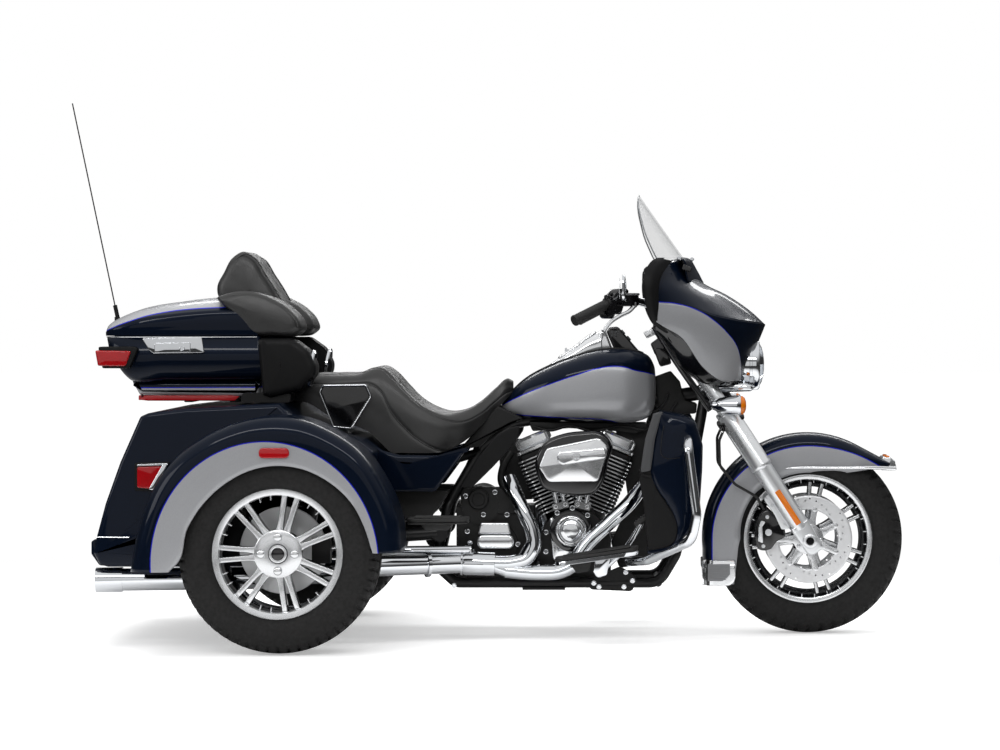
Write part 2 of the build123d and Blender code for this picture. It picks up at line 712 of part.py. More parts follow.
FENDER_CROWN_R = 352
FENDER_REAR_ANGLE = -6            # where the turned stretch ends behind the wheel
FENDER_FRONT_ANGLE = 118          # and ahead of it, both from straight back
FRONT_FENDER_LOW = [
    (700, 156), (852, 165), (861, 256), (882, 408), (922, 473), (1013, 519), (1099, 537), (1420, 541),
    (1420, 720), (700, 720),
]


def fender_section(half_width, crown, foot):
    """The fender's closed section as (across, radius) edges: straight sides, round corners, crown."""
    corner_y, corner_r = half_width - 12, crown - 20
    top_y = half_width - 43
    edges = [
        Line((-half_width, foot), (half_width, foot)).edge(),
        Line((half_width, foot), (half_width, crown - 52)).edge(),
        ThreePointArc((half_width, crown - 52), (corner_y, corner_r), (top_y, crown - 4)).edge(),
        ThreePointArc((top_y, crown - 4), (0, crown), (-top_y, crown - 4)).edge(),
        ThreePointArc((-top_y, crown - 4), (-corner_y, corner_r), (-half_width, crown - 52)).edge(),
        Line((-half_width, crown - 52), (-half_width, foot)).edge(),
    ]
    return Face(Wire(edges))


def fender_bow(half_width, crown, foot):
    """The section turned about the axle, and run on straight at both ends."""
    start, end = radians(FENDER_REAR_ANGLE), radians(FENDER_FRONT_ANGLE)
    axle = (FRONT_AXLE_X, 0, AXLE_Z)
    placed = []
    for a in (start, end):
        plane = Plane(axle, x_dir=(0, 1, 0), z_dir=(sin(a), 0, cos(a)))
        placed.append(plane * fender_section(half_width, crown, foot))
    back, front = placed
    arc = FENDER_FRONT_ANGLE - FENDER_REAR_ANGLE
    turned = revolve(back, axis=Axis(axle, (0, 1, 0)), revolution_arc=arc)
    tail = extrude(back, amount=132, dir=(-0.05, 0, -1))
    tip = extrude(front, amount=154, dir=(sin(end), 0, cos(end)))
    return turned + tail + tip


def front_fender():
    """Deep front fender: crowned over the tyre, its sides cut level with the rim ahead of the fork."""
    shell = fender_bow(83, FENDER_CROWN_R, 150) - fender_bow(79, FENDER_CROWN_R - 4, 140)
    return shell & prism(FRONT_FENDER_LOW, -90, 90)


# y, then the fairing's front curve there from the windshield's foot to its lower edge: x, z pairs
FAIRING = [
    (0, (672, 1244), (770, 1160), (952, 1024), (922, 962), (884, 838)),
    (120, (660, 1242), (758, 1158), (902, 1030), (890, 956), (856, 844)),
    (230, (620, 1236), (700, 1160), (794, 1052), (778, 960), (742, 888)),
    (300, (566, 1224), (610, 1170), (662, 1100), (660, 1040), (640, 990)),
    (332, (550, 1190), (560, 1160), (572, 1120), (580, 1070), (588, 1036)),
]


def fairing_loft(inset, back):
    """The fairing's closed shape, each section cut off along a line set back from its ends."""
    faces = []
    for y, *points in both_halves(FAIRING):
        squeeze = 1 - inset / 340
        moved = [(x - inset, z + (1050 - z) * inset / 190) for x, z in points]
        first, last = moved[0], moved[-1]
        closed = [(first[0] - back, first[1])] + moved + [(last[0] - back, last[1])]
        if not back:
            closed = moved + [(last[0] - 24, last[1] + 4), (first[0] - 24, first[1] - 2)]
        faces.append(lengthwise(y * squeeze) * Face(Wire(sides_of(closed))))
    return loft(faces, ruled=True)


def headlamp_body(grow=0.0):
    return rod((858 - grow, 0, 893), (926 + grow, 0, 893), 84 + grow)


def fairing():
    """Wide fork-mounted fairing shell with the headlamp's opening."""
    shell = fairing_loft(0, 0) - fairing_loft(6, 120) - headlamp_body(2)
    return max(solids_of(shell), key=lambda s: s.volume)


# y, then the inner fairing's upper and lower edge there: x, z pairs
DASH = [
    (0, (646, 1226), (690, 1002)),
    (120, (636, 1224), (690, 1002)),
    (230, (598, 1216), (664, 932)),
    (300, (545, 1204), (612, 1006)),
    (318, (532, 1176), (568, 1054)),
]
DASH_THICK = 14
# y, z, radius and how far its rim stands behind y = 0's: gauges and speakers
GAUGES = [(62, 1172, 40, 0), (150, 1170, 30, 12), (214, 1092, 54, 34)]


def dash():
    """Inner fairing that closes the shell towards the rider, with its gauges, speakers and screen."""
    faces = []
    for y, (x0, z0), (x1, z1) in both_halves(DASH):
        corners = [(x0, z0), (x0 + DASH_THICK, z0), (x1 + DASH_THICK, z1), (x1, z1)]
        faces.append(lengthwise(y) * Face(Wire(sides_of(corners))))
    panel = loft(faces, ruled=True) + box(652, 692, -92, 92, 1032, 1120)
    for y, z, r, back in GAUGES:
        for side in (-1, 1):
            panel = panel + rod((644 - back, side * y, z), (690 - back, side * y, z), r)
    bars = struts(BAR_PATH, 18)
    return panel - fairing_shell_only() - bars - mirrored(bars)


def fairing_shell_only():
    return fairing_loft(-0.4, 0) - fairing_loft(6.4, 120)


def windshield():
    """A curved sheet leaning back over the riders, its foot behind the fairing's top edge."""
    lean = degrees(atan2(681 - 531, 1462 - 1250))
    radius, thick, height = 430, 5, 262
    sheet = extrude(Circle(radius) - Circle(radius - thick), amount=height + 40)
    wedge = plan([(0, -262), (radius + 50, -262), (radius + 50, 262), (0, 262)], 0, height + 40)
    sheet = sheet & wedge
    half = [(0, height), (130, 256), (206, 200), (244, 90), (250, 0)]
    outline = half + [(-y, z) for y, z in half[:0:-1]]
    sheet = sheet & extrude(across(0) * Face(Wire(sides_of(outline))), amount=radius + 60, dir=(1, 0, 0))
    placed = Pos(676, 0, 1252) * Rot(0, -lean, 0) * Pos(-radius, 0, 0) * sheet
    return placed - fairing_loft(-1, 0)


def lamps():
    """Headlamp and the two turn signals on their bar."""
    nose = Cone(84, 46, 20, align=(Align.CENTER, Align.CENTER, Align.MIN))
    made = [headlamp_body() + Pos(926, 0, 893) * Rot(0, 90, 0) * nose]
    for side in (-1, 1):
        y = side * 183
        signal = rod((826, y, 756), (880, y, 758), 30) + rod((820, side * 148, 748), (840, y, 756), 9)
        made.append(signal)
    return gathered(made)


BAR_PATH = [(668, 0, 988), (668, -96, 988), (604, -190, 1084), (479, -294, 1118), (330, -411, 1042)]


def handlebar():
    """Bar rising from the upper clamp, sweeping out and back to the grips."""
    bar = tube(BAR_PATH, [40, 60, 46], 12.5)
    posts = [rod((684, side * 50, 930), (668, side * 50, 988), 17) for side in (-1, 1)]
    return (bar + mirrored(bar) + posts) - fork()


def hand_controls():
    """Grips, switch housings and levers at the bar's ends."""
    start, end = Vector(*BAR_PATH[-2]), Vector(*BAR_PATH[-1])
    along = (end - start).normalized()
    grip_from, grip_to = start + along * 68, end + along * 4
    grip = rod(tuple(grip_from), tuple(grip_to), 18)
    housing = rod(tuple(start + along * 20), tuple(grip_from), 26)
    lever_from = start + along * 30 + Vector(34, 0, 8)
    lever = rod(tuple(lever_from), tuple(start + along * 160 + Vector(44, 0, -14)), 6)
    clamp = rod(tuple(lever_from), tuple(start + along * 30), 11)
    return pair((grip + housing + lever + clamp) - handlebar())


def mirrors():
    """Mirror heads on short arms from the fairing's inner edge."""
    head = fillet(Box(16, 110, 84).edges().filter_by(Axis.X), 26)
    head = Pos(476, -388, 1150) * Rot(0, 4, 0) * head
    arm = rod((480, -350, 1166), (546, -312, 1178), 7)
    return pair(head + arm)


def calipers():
    """Front brake calipers behind the fork legs, astride the discs."""
    body = box(-152, -94, -98, -58, -52, 52) - box(-151, -80, -80, -65, -60, 60)
    lug = box(-104, -30, -110, -92, -16, 16)
    placed = Pos(FRONT_AXLE_X, 0, AXLE_Z) * Rot(0, 12, 0) * (body + lug)
    return pair(placed - fork())


HOSE_R = 4.5
HOSE_BEND = 36
HOSE_ROUTE = [
    (822, -112, 700), (798, -112, 645), (800, -112, 560), (850, -106, 500), (922, -97, 458), (962, -90, 390),
]


def brake_hoses():
    """Front brake hoses, from the lower fork clamp down behind each leg to its caliper."""
    return pair(tube(HOSE_ROUTE, HOSE_BEND, HOSE_R) - fork() - calipers())


# ---- all nodes -------------------------------------------------------------------------------
def build():
    front_rubber, front_rim, discs = front_wheel()
    rear_rubber, rear_rim = rear_wheel()
    right_fender = fender()
    outer_fairing, inner_fairing = fairing(), dash()
    return {
        "frame": frame(),
        "engine_cases": engine_cases(),
        "rear_cylinder": cylinder(-1),
        "front_cylinder": cylinder(1),
        "rocker_covers": gathered([rocker_cover(-1), rocker_cover(1)]),
        "air_cleaner": air_cleaner(),
        "engine_covers": engine_covers(),
        "primary_cover": primary_cover(),
        "exhaust_pipes": exhaust_pipes(),
        "mufflers": mufflers(),
        "rear_axle": rear_axle(),
        "fuel_tank": fuel_tank(),
        "tank_console": tank_console(),
        "fuel_door": fuel_door(),
        "seat": seat(),
        "side_panels": side_panels(),
        "heat_deflectors": heat_deflectors(),
        "rear_body": rear_body(),
        "trunk_door": trunk_door(),
        "rear_fender_right": right_fender,
        "rear_fender_left": mirrored(right_fender),
        "red_lamps": red_lamps(),
        "luggage_box": luggage_box(),
        "luggage_lid": luggage_lid(),
        "backrest": backrest(),
        "speaker_pods": speaker_pods(),
        "antenna": antenna(),
        "lower_fairings": lower_fairings(),
        "engine_guard": engine_guard(),
        "footboards": footboards(),
        "fork": fork(),
        "front_fender": front_fender(),
        "fairing": outer_fairing,
        "dash": inner_fairing,
        "windshield": windshield(),
        "front_lamps": lamps(),
        "handlebar": handlebar(),
        "hand_controls": hand_controls(),
        "mirrors": mirrors() - inner_fairing - outer_fairing,
        "front_calipers": calipers(),
        "brake_hoses": brake_hoses(),
        "front_tyre": front_rubber,
        "front_rim": front_rim,
        "front_discs": discs,
        "rear_tyre_right": rear_rubber,
        "rear_tyre_left": mirrored(rear_rubber),
        "rear_rim_right": rear_rim,
        "rear_rim_left": mirrored(rear_rim),
    }


os.makedirs("parts", exist_ok=True)
for name, shape in build().items():
    export_step(Compound(solids_of(shape)), f"parts/{name}.step")
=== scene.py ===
import math

import bmesh
import bpy
import numpy as np
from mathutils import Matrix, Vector


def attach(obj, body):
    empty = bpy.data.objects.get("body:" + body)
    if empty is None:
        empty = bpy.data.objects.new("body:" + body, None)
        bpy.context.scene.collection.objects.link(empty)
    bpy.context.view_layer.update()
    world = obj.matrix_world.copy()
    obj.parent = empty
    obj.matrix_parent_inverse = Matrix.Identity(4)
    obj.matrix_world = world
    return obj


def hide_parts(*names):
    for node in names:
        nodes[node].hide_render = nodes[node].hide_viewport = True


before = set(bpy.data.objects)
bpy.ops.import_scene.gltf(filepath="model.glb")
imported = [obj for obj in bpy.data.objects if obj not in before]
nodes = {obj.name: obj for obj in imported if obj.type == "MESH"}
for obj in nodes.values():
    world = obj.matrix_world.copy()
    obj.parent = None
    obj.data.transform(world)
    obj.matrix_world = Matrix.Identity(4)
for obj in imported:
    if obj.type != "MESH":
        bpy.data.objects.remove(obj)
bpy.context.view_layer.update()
print("frame loaded:", len(nodes), "nodes")

# Shapes below are worked out in millimetres in the vehicle's own frame: x forward, y to the
# rider's left, z up. A shape is a pair: an array of points and a list of faces.
metre = 0.001

# the main sizes, as the frame has them
frontAxle = np.array([1095.0, 0.0, 316.0])
rearAxle = np.array([-591.0, 0.0, 316.0])
rearWheelY = 554.0
tyreRadius = 316.0
forkAngle = math.radians(33)


# curves

def throughPoints(points, count, closed=False, byPoint=False):
    # a smooth curve through the points: between two of them it is the cubic whose end slopes are
    # the mean of the neighbouring chords' slopes, each weighted by the other chord's length.
    # byPoint gives every stretch between two points the same number of steps
    p = np.asarray(points, float)
    if closed:
        p = np.vstack([p[-2:], p, p[:3]])
    step = np.linalg.norm(np.diff(p, axis=0), axis=1)
    slope = np.diff(p, axis=0) / step[:, None]
    inner = (slope[:-1] * step[1:, None] + slope[1:] * step[:-1, None]) / (step[:-1] + step[1:])[:, None]
    tangent = np.vstack([slope[:1], inner, slope[-1:]])
    knots = np.concatenate([[0], np.cumsum(step)])
    first, last = (knots[2], knots[-3]) if closed else (knots[0], knots[-1])
    at = np.linspace(first, last, count, endpoint=not closed)
    if byPoint:
        own = knots[2:-2] if closed else knots
        share = np.linspace(0, len(own) - 1, count, endpoint=not closed)
        at = np.interp(share, np.arange(len(own)), own)
    i = np.clip(np.searchsorted(knots, at, side="right") - 1, 0, len(step) - 1)
    h = step[i]
    s = ((at - knots[i]) / h)[:, None]
    h = h[:, None]
    return ((2 * s**3 - 3 * s**2 + 1) * p[i] + (s**3 - 2 * s**2 + s) * h * tangent[i]
            + (3 * s**2 - 2 * s**3) * p[i + 1] + (s**3 - s**2) * h * tangent[i + 1])


def filleted(corners, steps=5, closed=True):
    # each corner (a, b, radius) becomes an arc that touches the two sides that meet there
    made = []
    for i, (a, b, radius) in enumerate(corners):
        here = np.array([a, b], float)
        if radius <= 0 or (not closed and i in (0, len(corners) - 1)):
            made.append(here[None])
            continue
        before = np.array(corners[i - 1][:2], float) - here
        after = np.array(corners[(i + 1) % len(corners)][:2], float) - here
        lengthBefore, lengthAfter = np.linalg.norm(before), np.linalg.norm(after)
        before, after = before / lengthBefore, after / lengthAfter
        half = math.acos(np.clip(before @ after, -0.999, 0.999)) / 2
        reach = min(radius / math.tan(half), 0.48 * lengthBefore, 0.48 * lengthAfter)
        t = np.linspace(0, 1, steps)[:, None]
        made.append(here + before * reach * (1 - t) ** 2 + after * reach * t**2)
    return np.vstack(made)


def resampled(points, count, closed=True):
    # the same outline with its points evenly spaced along it
    p = np.vstack([points, points[:1]]) if closed else np.asarray(points, float)
    along = np.concatenate([[0], np.cumsum(np.linalg.norm(np.diff(p, axis=0), axis=1))])
    at = np.linspace(0, along[-1], count, endpoint=not closed)
    return np.stack([np.interp(at, along, p[:, k]) for k in range(p.shape[1])], 1)


def inset(outline, distance):
    # moves each point of a closed flat outline inwards, square to the line between its neighbours
    along = np.roll(outline, -1, 0) - np.roll(outline, 1, 0)
    along /= np.linalg.norm(along, axis=1)[:, None] + 1e-9
    x, z = outline[:, 0], outline[:, 1]
    area = np.sum(x * np.roll(z, -1) - z * np.roll(x, -1))
    normal = np.stack([-along[:, 1], along[:, 0]], 1) * np.sign(area)
    return outline + normal * distance


# shapes

def gridShape(grid, closeU=False, closeV=False, capU=False):
    # grid[u, v] is a point, and four neighbours make a face; capU closes the first and last ring
    rows, cols = grid.shape[:2]
    u, v = np.meshgrid(np.arange(rows if closeU else rows - 1), np.arange(cols if closeV else cols - 1),
                       indexing="ij")
    nextU, nextV = (u + 1) % rows, (v + 1) % cols
    faces = np.stack([u * cols + v, u * cols + nextV, nextU * cols + nextV, nextU * cols + v], -1)
    faces = faces.reshape(-1, 4).tolist()
    if capU:
        faces += [list(range(cols)), list(range((rows - 1) * cols, rows * cols))]
    return grid.reshape(-1, 3), faces


def joined(*shapes):
    points, faces, start = [], [], 0
    for p, f in shapes:
        points.append(p)
        faces += [[start + i for i in face] for face in f]
        start += len(p)
    return np.vstack(points), faces


def copies(shape, matrices, centre=(0, 0, 0)):
    # the shape repeated under each 3 by 3 matrix about the centre
    points, faces = shape
    centre = np.asarray(centre, float)
    turned = np.einsum("kij,nj->kni", np.asarray(matrices), points - centre) + centre
    many = [(np.asarray(f)[None] + (np.arange(len(matrices)) * len(points))[:, None]).tolist() for f in faces]
    return turned.reshape(-1, 3), [face for group in many for face in group]


def turns(axis, angles):
    # turning matrices about one axis, from Rodrigues' formula
    x, y, z = np.asarray(axis, float) / np.linalg.norm(axis)
    cross = np.array([[0, -z, y], [z, 0, -x], [-y, x, 0]])
    a = np.radians(np.atleast_1d(angles))[:, None, None]
    return np.eye(3) + np.sin(a) * cross + (1 - np.cos(a)) * (cross @ cross)


def moved(shape, offset):
    return shape[0] + np.asarray(offset, float), shape[1]


def turned(shape, axis, angle, centre=(0, 0, 0)):
    return copies(shape, turns(axis, angle), centre)


def flipped(shape):
    # the same shape on the other side of the vehicle
    return shape[0] * [1, -1, 1], shape[1]


def pair(shape):
    return joined(shape, flipped(shape))


def lathe(profile, centre, axis=(0, 1, 0), segments=96, ring=False):
    # profile points (along the axis, radius) turned about the axis; a ring's profile is closed
    profile = np.asarray(profile, float)
    axis = np.asarray(axis, float) / np.linalg.norm(axis)
    side = np.cross(axis, [0, 0, 1] if abs(axis[2]) < 0.9 else [1, 0, 0])
    side /= np.linalg.norm(side)
    other = np.cross(axis, side)
    angle = np.linspace(0, 2 * math.pi, segments, endpoint=False)
    round_ = np.cos(angle)[:, None] * side + np.sin(angle)[:, None] * other
    grid = profile[:, 0, None, None] * axis + profile[:, 1, None, None] * round_[None] + np.asarray(centre)
    return gridShape(grid, closeU=ring, closeV=True, capU=not ring)


def tube(path, radius, sides=16, up=(0, 1, 0), squash=1.0, closed=False):
    # a ring carried along the path, square to it; radius may be one number or one a point
    path = np.asarray(path, float)
    along = np.gradient(path, axis=0)
    if closed:
        along = np.roll(path, -1, 0) - np.roll(path, 1, 0)
    along /= np.linalg.norm(along, axis=1)[:, None]
    side = np.cross(along, np.asarray(up, float))
    side /= np.linalg.norm(side, axis=1)[:, None] + 1e-9
    other = np.cross(along, side)
    radius = np.broadcast_to(np.asarray(radius, float), len(path))[:, None, None]
    angle = np.linspace(0, 2 * math.pi, sides, endpoint=False)[None, :, None]
    grid = path[:, None] + radius * (np.cos(angle) * side[:, None] + squash * np.sin(angle) * other[:, None])
    return gridShape(grid, closeU=closed, closeV=True, capU=not closed)


def rod(start, end, radius, sides=24):
    start, end = np.asarray(start, float), np.asarray(end, float)
    length = np.linalg.norm(end - start)
    edge = min(1.2, radius * 0.25)
    profile = [(0, radius - edge), (edge, radius), (length - edge, radius), (length, radius - edge)]
    return lathe(profile, start, end - start, sides)


def plate(outline, y0, y1, edge=2.0, dome=0.0, count=160):
    # an (x, z) outline carried across from y0 to y1; its outer rim is rounded by quarter-circle
    # steps, and a dome lifts the face by dome * (1 - share squared) as the outline shrinks
    outline = resampled(outline, count)
    way = 1 if y1 > y0 else -1
    a = np.linspace(0, math.pi / 2, 5)
    rings = [(outline, y0)]
    rings += [(inset(outline, edge * (1 - math.cos(t))), y1 - way * edge * (1 - math.sin(t))) for t in a]
    face = rings[-1][0]
    centre = face.mean(0)
    shares = (0.93, 0.84, 0.72, 0.56, 0.36, 0.12) if dome else ()
    rings += [(centre + (face - centre) * s, y1 + way * dome * (1 - s * s)) for s in shares]
    grid = np.stack([np.stack([o[:, 0], np.full(count, y), o[:, 1]], 1) for o, y in rings])
    return gridShape(grid, closeV=True, capU=True)


def superRing(halfWidth, low, high, power, count=64):
    # a rounded box section: |y / w|^n + |z / h|^n = 1, n being the power
    angle = np.linspace(0, 2 * math.pi, count, endpoint=False)
    c, s = np.cos(angle), np.sin(angle)
    y = halfWidth[:, None] * np.sign(c) * np.abs(c) ** (2 / power[:, None])
    z = (low + high)[:, None] / 2 + (high - low)[:, None] / 2 * np.sign(s) * np.abs(s) ** (2 / power[:, None])
    return y, z


def loft(stations, count=60, around=64, closeEnds=True):
    # rounded box sections along x, their sizes smooth between the stations
    # (x, half width, low z, high z, power); with closeEnds the first and last rings are capped flat
    s = throughPoints(stations, count)
    y, z = superRing(s[:, 1], s[:, 2], s[:, 3], s[:, 4], around)
    grid = np.stack([np.broadcast_to(s[:, 0, None], y.shape), y, z], -1)
    return gridShape(grid, closeV=True, capU=closeEnds)


def skin(rows, along, across, closed=False, capU=False, closeU=False):
    # a smooth surface through rows that all have the same number of points: first a curve through
    # each row, then curves through the rows' matching points
    fine = np.stack([throughPoints(row, across, closed, True) for row in rows])
    grid = throughPoints(fine.reshape(len(rows), -1), along, closeU, True).reshape(along, across, 3)
    return gridShape(grid, closeU=closeU, closeV=closed, capU=capU)


def block(x0, x1, y0, y1, z0, z1, edge=1.0):
    outline = filleted([(x0, z0, edge), (x1, z0, edge), (x1, z1, edge), (x0, z1, edge)], 3)
    return plate(outline, y0, y1, edge, count=len(outline) * 2)


def addPiece(name, shape, body, material, thickness=0.0, offset=-1.0, bevel=0.0, subdivide=0, sharp=38,
             replaces=()):
    # merges doubles, turns the faces outwards and adds the modifiers that finish the piece
    points, faces = shape
    mesh = bpy.data.meshes.new(name)
    mesh.from_pydata((points * metre).tolist(), [], faces)
    mesh.validate()
    piece = bpy.data.objects.new(name, mesh)
    bpy.context.scene.collection.objects.link(piece)
    work = bmesh.new()
    work.from_mesh(mesh)
    bmesh.ops.remove_doubles(work, verts=work.verts, dist=1e-6)
    bmesh.ops.recalc_face_normals(work, faces=work.faces)
    middle = Vector(points.mean(0) * metre)
    outward = sum((f.calc_center_median() - middle).dot(f.normal) * f.calc_area() for f in work.faces)
    if outward < 0:
        bmesh.ops.reverse_faces(work, faces=work.faces)
    work.to_mesh(mesh)
    work.free()
    mesh.shade_smooth()
    mesh.set_sharp_from_angle(angle=math.radians(sharp))
    mesh.materials.append(material)
    if thickness:
        wall = piece.modifiers.new("wall", "SOLIDIFY")
        wall.thickness = thickness * metre
        wall.offset = offset
    if bevel:
        soft = piece.modifiers.new("soft edge", "BEVEL")
        soft.width = bevel * metre
        soft.segments = 2
        soft.limit_method = "ANGLE"
        soft.angle_limit = math.radians(sharp)
    if subdivide:
        fine = piece.modifiers.new("fine", "SUBSURF")
        fine.levels = fine.render_levels = subdivide
    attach(piece, body)
    if replaces:
        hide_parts(*([replaces] if isinstance(replaces, str) else replaces))
    return piece


# materials

def linearColour(hexColour):
    # sRGB hex to linear red, green, blue and full alpha
    c = np.array([int(hexColour[i:i + 2], 16) / 255 for i in (0, 2, 4)])
    return (*np.where(c <= 0.04045, c / 12.92, ((c + 0.055) / 1.055) ** 2.4).tolist(), 1.0)


def addNode(tree, kind, values=None, links=None, **settings):
    node = tree.nodes.new("ShaderNode" + kind)
    for key, value in settings.items():
        setattr(node, key, value)
    for key, value in (values or {}).items():
        node.inputs[key].default_value = value
    for key, socket in (links or {}).items():
        tree.links.new(socket, node.inputs[key])
    return node


def startMaterial(name, **shader):
    # an empty material with its shader, output and object coordinates
    material = bpy.data.materials.new(name)
    material.use_nodes = True
    tree = material.node_tree
    tree.nodes.clear()
    principled = addNode(tree, "BsdfPrincipled", shader)
    addNode(tree, "OutputMaterial", links={"Surface": principled.outputs[0]})
    place = addNode(tree, "TexCoord").outputs["Object"]
    return material, tree, principled, place


def texture(tree, place, kind, size, **values):
    # a pattern whose feature size is given in millimetres
    settings = {"Noise": {"noise_dimensions": "3D"}, "Voronoi": {"feature": "F1"}}[kind]
    return addNode(tree, "Tex" + kind, {"Scale": 1000 / size, **values}, {"Vector": place}, **settings)


def finish(name, colour, second=None, patch=60, rough=(0.3, 0.4), roughPatch=40, metallic=0.0, coat=0.0,
           bump=None, **shader):
    # one plain finish: colour drifting between two tones over patches, roughness drifting the
    # same way, and a fine bump; sizes are in millimetres
    values = {"Metallic": metallic, "Coat Weight": coat, **shader}
    material, tree, principled, place = startMaterial(name, **values)
    drift = texture(tree, place, "Noise", patch, Detail=4.0)
    tones = addNode(tree, "Mix", {6: linearColour(colour), 7: linearColour(second or colour)},
                    {"Factor": drift.outputs[0]}, data_type="RGBA")
    tree.links.new(tones.outputs[2], principled.inputs["Base Color"])
    wear = texture(tree, place, "Noise", roughPatch, Detail=5.0)
    spread = addNode(tree, "MapRange", {"To Min": rough[0], "To Max": rough[1], "From Min": 0.3, "From Max": 0.7},
                     {"Value": wear.outputs[0]})
    tree.links.new(spread.outputs[0], principled.inputs["Roughness"])
    if bump:
        kind, size, height = bump
        grain = texture(tree, place, kind, size)
        lift = addNode(tree, "Bump", {"Strength": 1.0, "Distance": height * metre}, {"Height": grain.outputs[0]})
        tree.links.new(lift.outputs[0], principled.inputs["Normal"])
    return material


paint = {
    "navy": "07101f", "grey": "a0a1a4", "stripe": "1c22b0", "stripeWidth": 3.2,
    "flakeSize": 0.9, "orangePeelSize": 9.0,
}


def lacquer(name, colour, boundary=None, inner="grey"):
    # metallic basecoat under clear lacquer: flakes shift the tone, the lacquer ripples very slightly.
    # boundary(tree, place) gives how far a point is inside the second colour's field, in metres
    material, tree, principled, place = startMaterial(
        name, **{"Metallic": 0.3, "Specular IOR Level": 0.04, "Coat Weight": 0.32, "Coat Roughness": 0.03,
                 "Coat IOR": 1.5})
    flakes = texture(tree, place, "Voronoi", paint["flakeSize"])
    sparkle = addNode(tree, "MapRange", {"To Min": 0.9, "To Max": 1.12}, {"Value": flakes.outputs["Color"]})
    base = linearColour(colour)
    if boundary:
        inside = boundary(tree, place)
        field = addNode(tree, "Math", {1: 0.0}, {0: inside}, operation="GREATER_THAN")
        away = addNode(tree, "Math", links={0: inside}, operation="ABSOLUTE")
        line = addNode(tree, "Math", {1: paint["stripeWidth"] / 2 * metre}, {0: away.outputs[0]},
                       operation="LESS_THAN")
        two = addNode(tree, "Mix", links={"Factor": field.outputs[0]}, data_type="RGBA")
        two.inputs[6].default_value = base
        two.inputs[7].default_value = linearColour(paint[inner])
        three = addNode(tree, "Mix", links={"Factor": line.outputs[0]}, data_type="RGBA")
        tree.links.new(two.outputs[2], three.inputs[6])
        three.inputs[7].default_value = linearColour(paint["stripe"])
        colourOut = three.outputs[2]
    else:
        plain = addNode(tree, "RGB")
        plain.outputs[0].default_value = base
        colourOut = plain.outputs[0]
    toned = addNode(tree, "VectorMath", links={0: colourOut, 1: sparkle.outputs[0]}, operation="MULTIPLY")
    tree.links.new(toned.outputs[0], principled.inputs["Base Color"])
    dust = texture(tree, place, "Noise", 120, Detail=3.0)
    rough = addNode(tree, "MapRange", {"To Min": 0.26, "To Max": 0.36}, {"Value": dust.outputs[0]})
    tree.links.new(rough.outputs[0], principled.inputs["Roughness"])
    peel = texture(tree, place, "Noise", paint["orangePeelSize"], Detail=1.0)
    ripple = addNode(tree, "Bump", {"Strength": 0.25, "Distance": 0.00004}, {"Height": peel.outputs[0]})
    tree.links.new(ripple.outputs[0], principled.inputs["Coat Normal"])
    return material


def underCurve(points):
    # the field lies under a line given by (x, z) points in millimetres
    def field(tree, place):
        xyz = addNode(tree, "SeparateXYZ", links={0: place})
        low, high = points[0][0], points[-1][0]
        zs = [z for _, z in points]
        zLow, zHigh = min(zs) - 1, max(zs) + 1
        share = addNode(tree, "MapRange", {"From Min": low * metre, "From Max": high * metre},
                        {"Value": xyz.outputs[0]})
        line = addNode(tree, "FloatCurve", links={"Value": share.outputs[0]})
        curve = line.mapping.curves[0]
        while len(curve.points) < len(points):
            curve.points.new(0.5, 0.5)
        for knot, (x, z) in zip(curve.points, points):
            knot.location = ((x - low) / (high - low), (z - zLow) / (zHigh - zLow))
        line.mapping.update()
        height = addNode(tree, "MapRange", {"To Min": zLow * metre, "To Max": zHigh * metre},
                         {"Value": line.outputs[0]})
        return addNode(tree, "Math", links={0: height.outputs[0], 1: xyz.outputs[2]},
                       operation="SUBTRACT").outputs[0]
    return field


def withinEllipse(centreX, centreZ, radiusX, radiusZ):
    # the field lies inside an ellipse seen from the side, measured along its mean radius
    def field(tree, place):
        shift = addNode(tree, "VectorMath", {1: (centreX * metre, 0, centreZ * metre)}, {0: place},
                        operation="SUBTRACT")
        scaled = addNode(tree, "VectorMath", {1: (1 / (radiusX * metre), 0, 1 / (radiusZ * metre))},
                         {0: shift.outputs[0]}, operation="MULTIPLY")
        reach = addNode(tree, "VectorMath", links={0: scaled.outputs[0]}, operation="LENGTH")
        mean = (radiusX + radiusZ) / 2 * metre
        return addNode(tree, "MapRange", {"From Min": 0.0, "From Max": 2.0, "To Min": mean, "To Max": -mean},
                       {"Value": reach.outputs["Value"]}).outputs[0]
    return field


# clearcoated car paint: dark, deep, with sharp reflections
navyPaint = lacquer("navy basecoat and clearcoat", paint["navy"])
greyPaint = lacquer("grey metallic basecoat and clearcoat", paint["grey"])
# hexavalent chrome plate on polished metal: a near mirror, with the faintest waviness
chrome = finish("chrome plate", "e9ebee", "dfe2e6", 90, (0.03, 0.07), 30, metallic=1.0, bump=("Noise", 26, 0.012))
# cast aluminium, machined and polished on its faces
polishedAlloy = finish("polished cast aluminium", "e9eaec", "e0e2e4", 90, (0.16, 0.24), 60, metallic=0.78)
# satin fork sliders, buffed: softer and paler reflections than chrome
buffedAlloy = finish("buffed aluminium slider", "eceef0", "e2e4e7", 150, (0.24, 0.3), 120, metallic=0.8)
# heavily plated covers: chrome with a share of plain near-white colour under its mirror, a painted reflection that
# makes the broad faces read pale
chromeWithPaintedReflection = finish("plated casting with painted reflection", "f4f5f7", "eceef0", 90, (0.08, 0.15), 60, metallic=0.86, coat=0.4)
# ground brake disc steel
groundSteel = finish("ground stainless steel", "eaebec", "e2e3e5", 40, (0.3, 0.38), 30, metallic=0.5)
# powder coat on tubes and brackets: satin black with a fine texture
powderBlack = finish("satin powder coat", "080809", "0d0d0e", 40, (0.3, 0.42), 20, bump=("Noise", 2.2, 0.02),
                     **{"Specular IOR Level": 0.3})
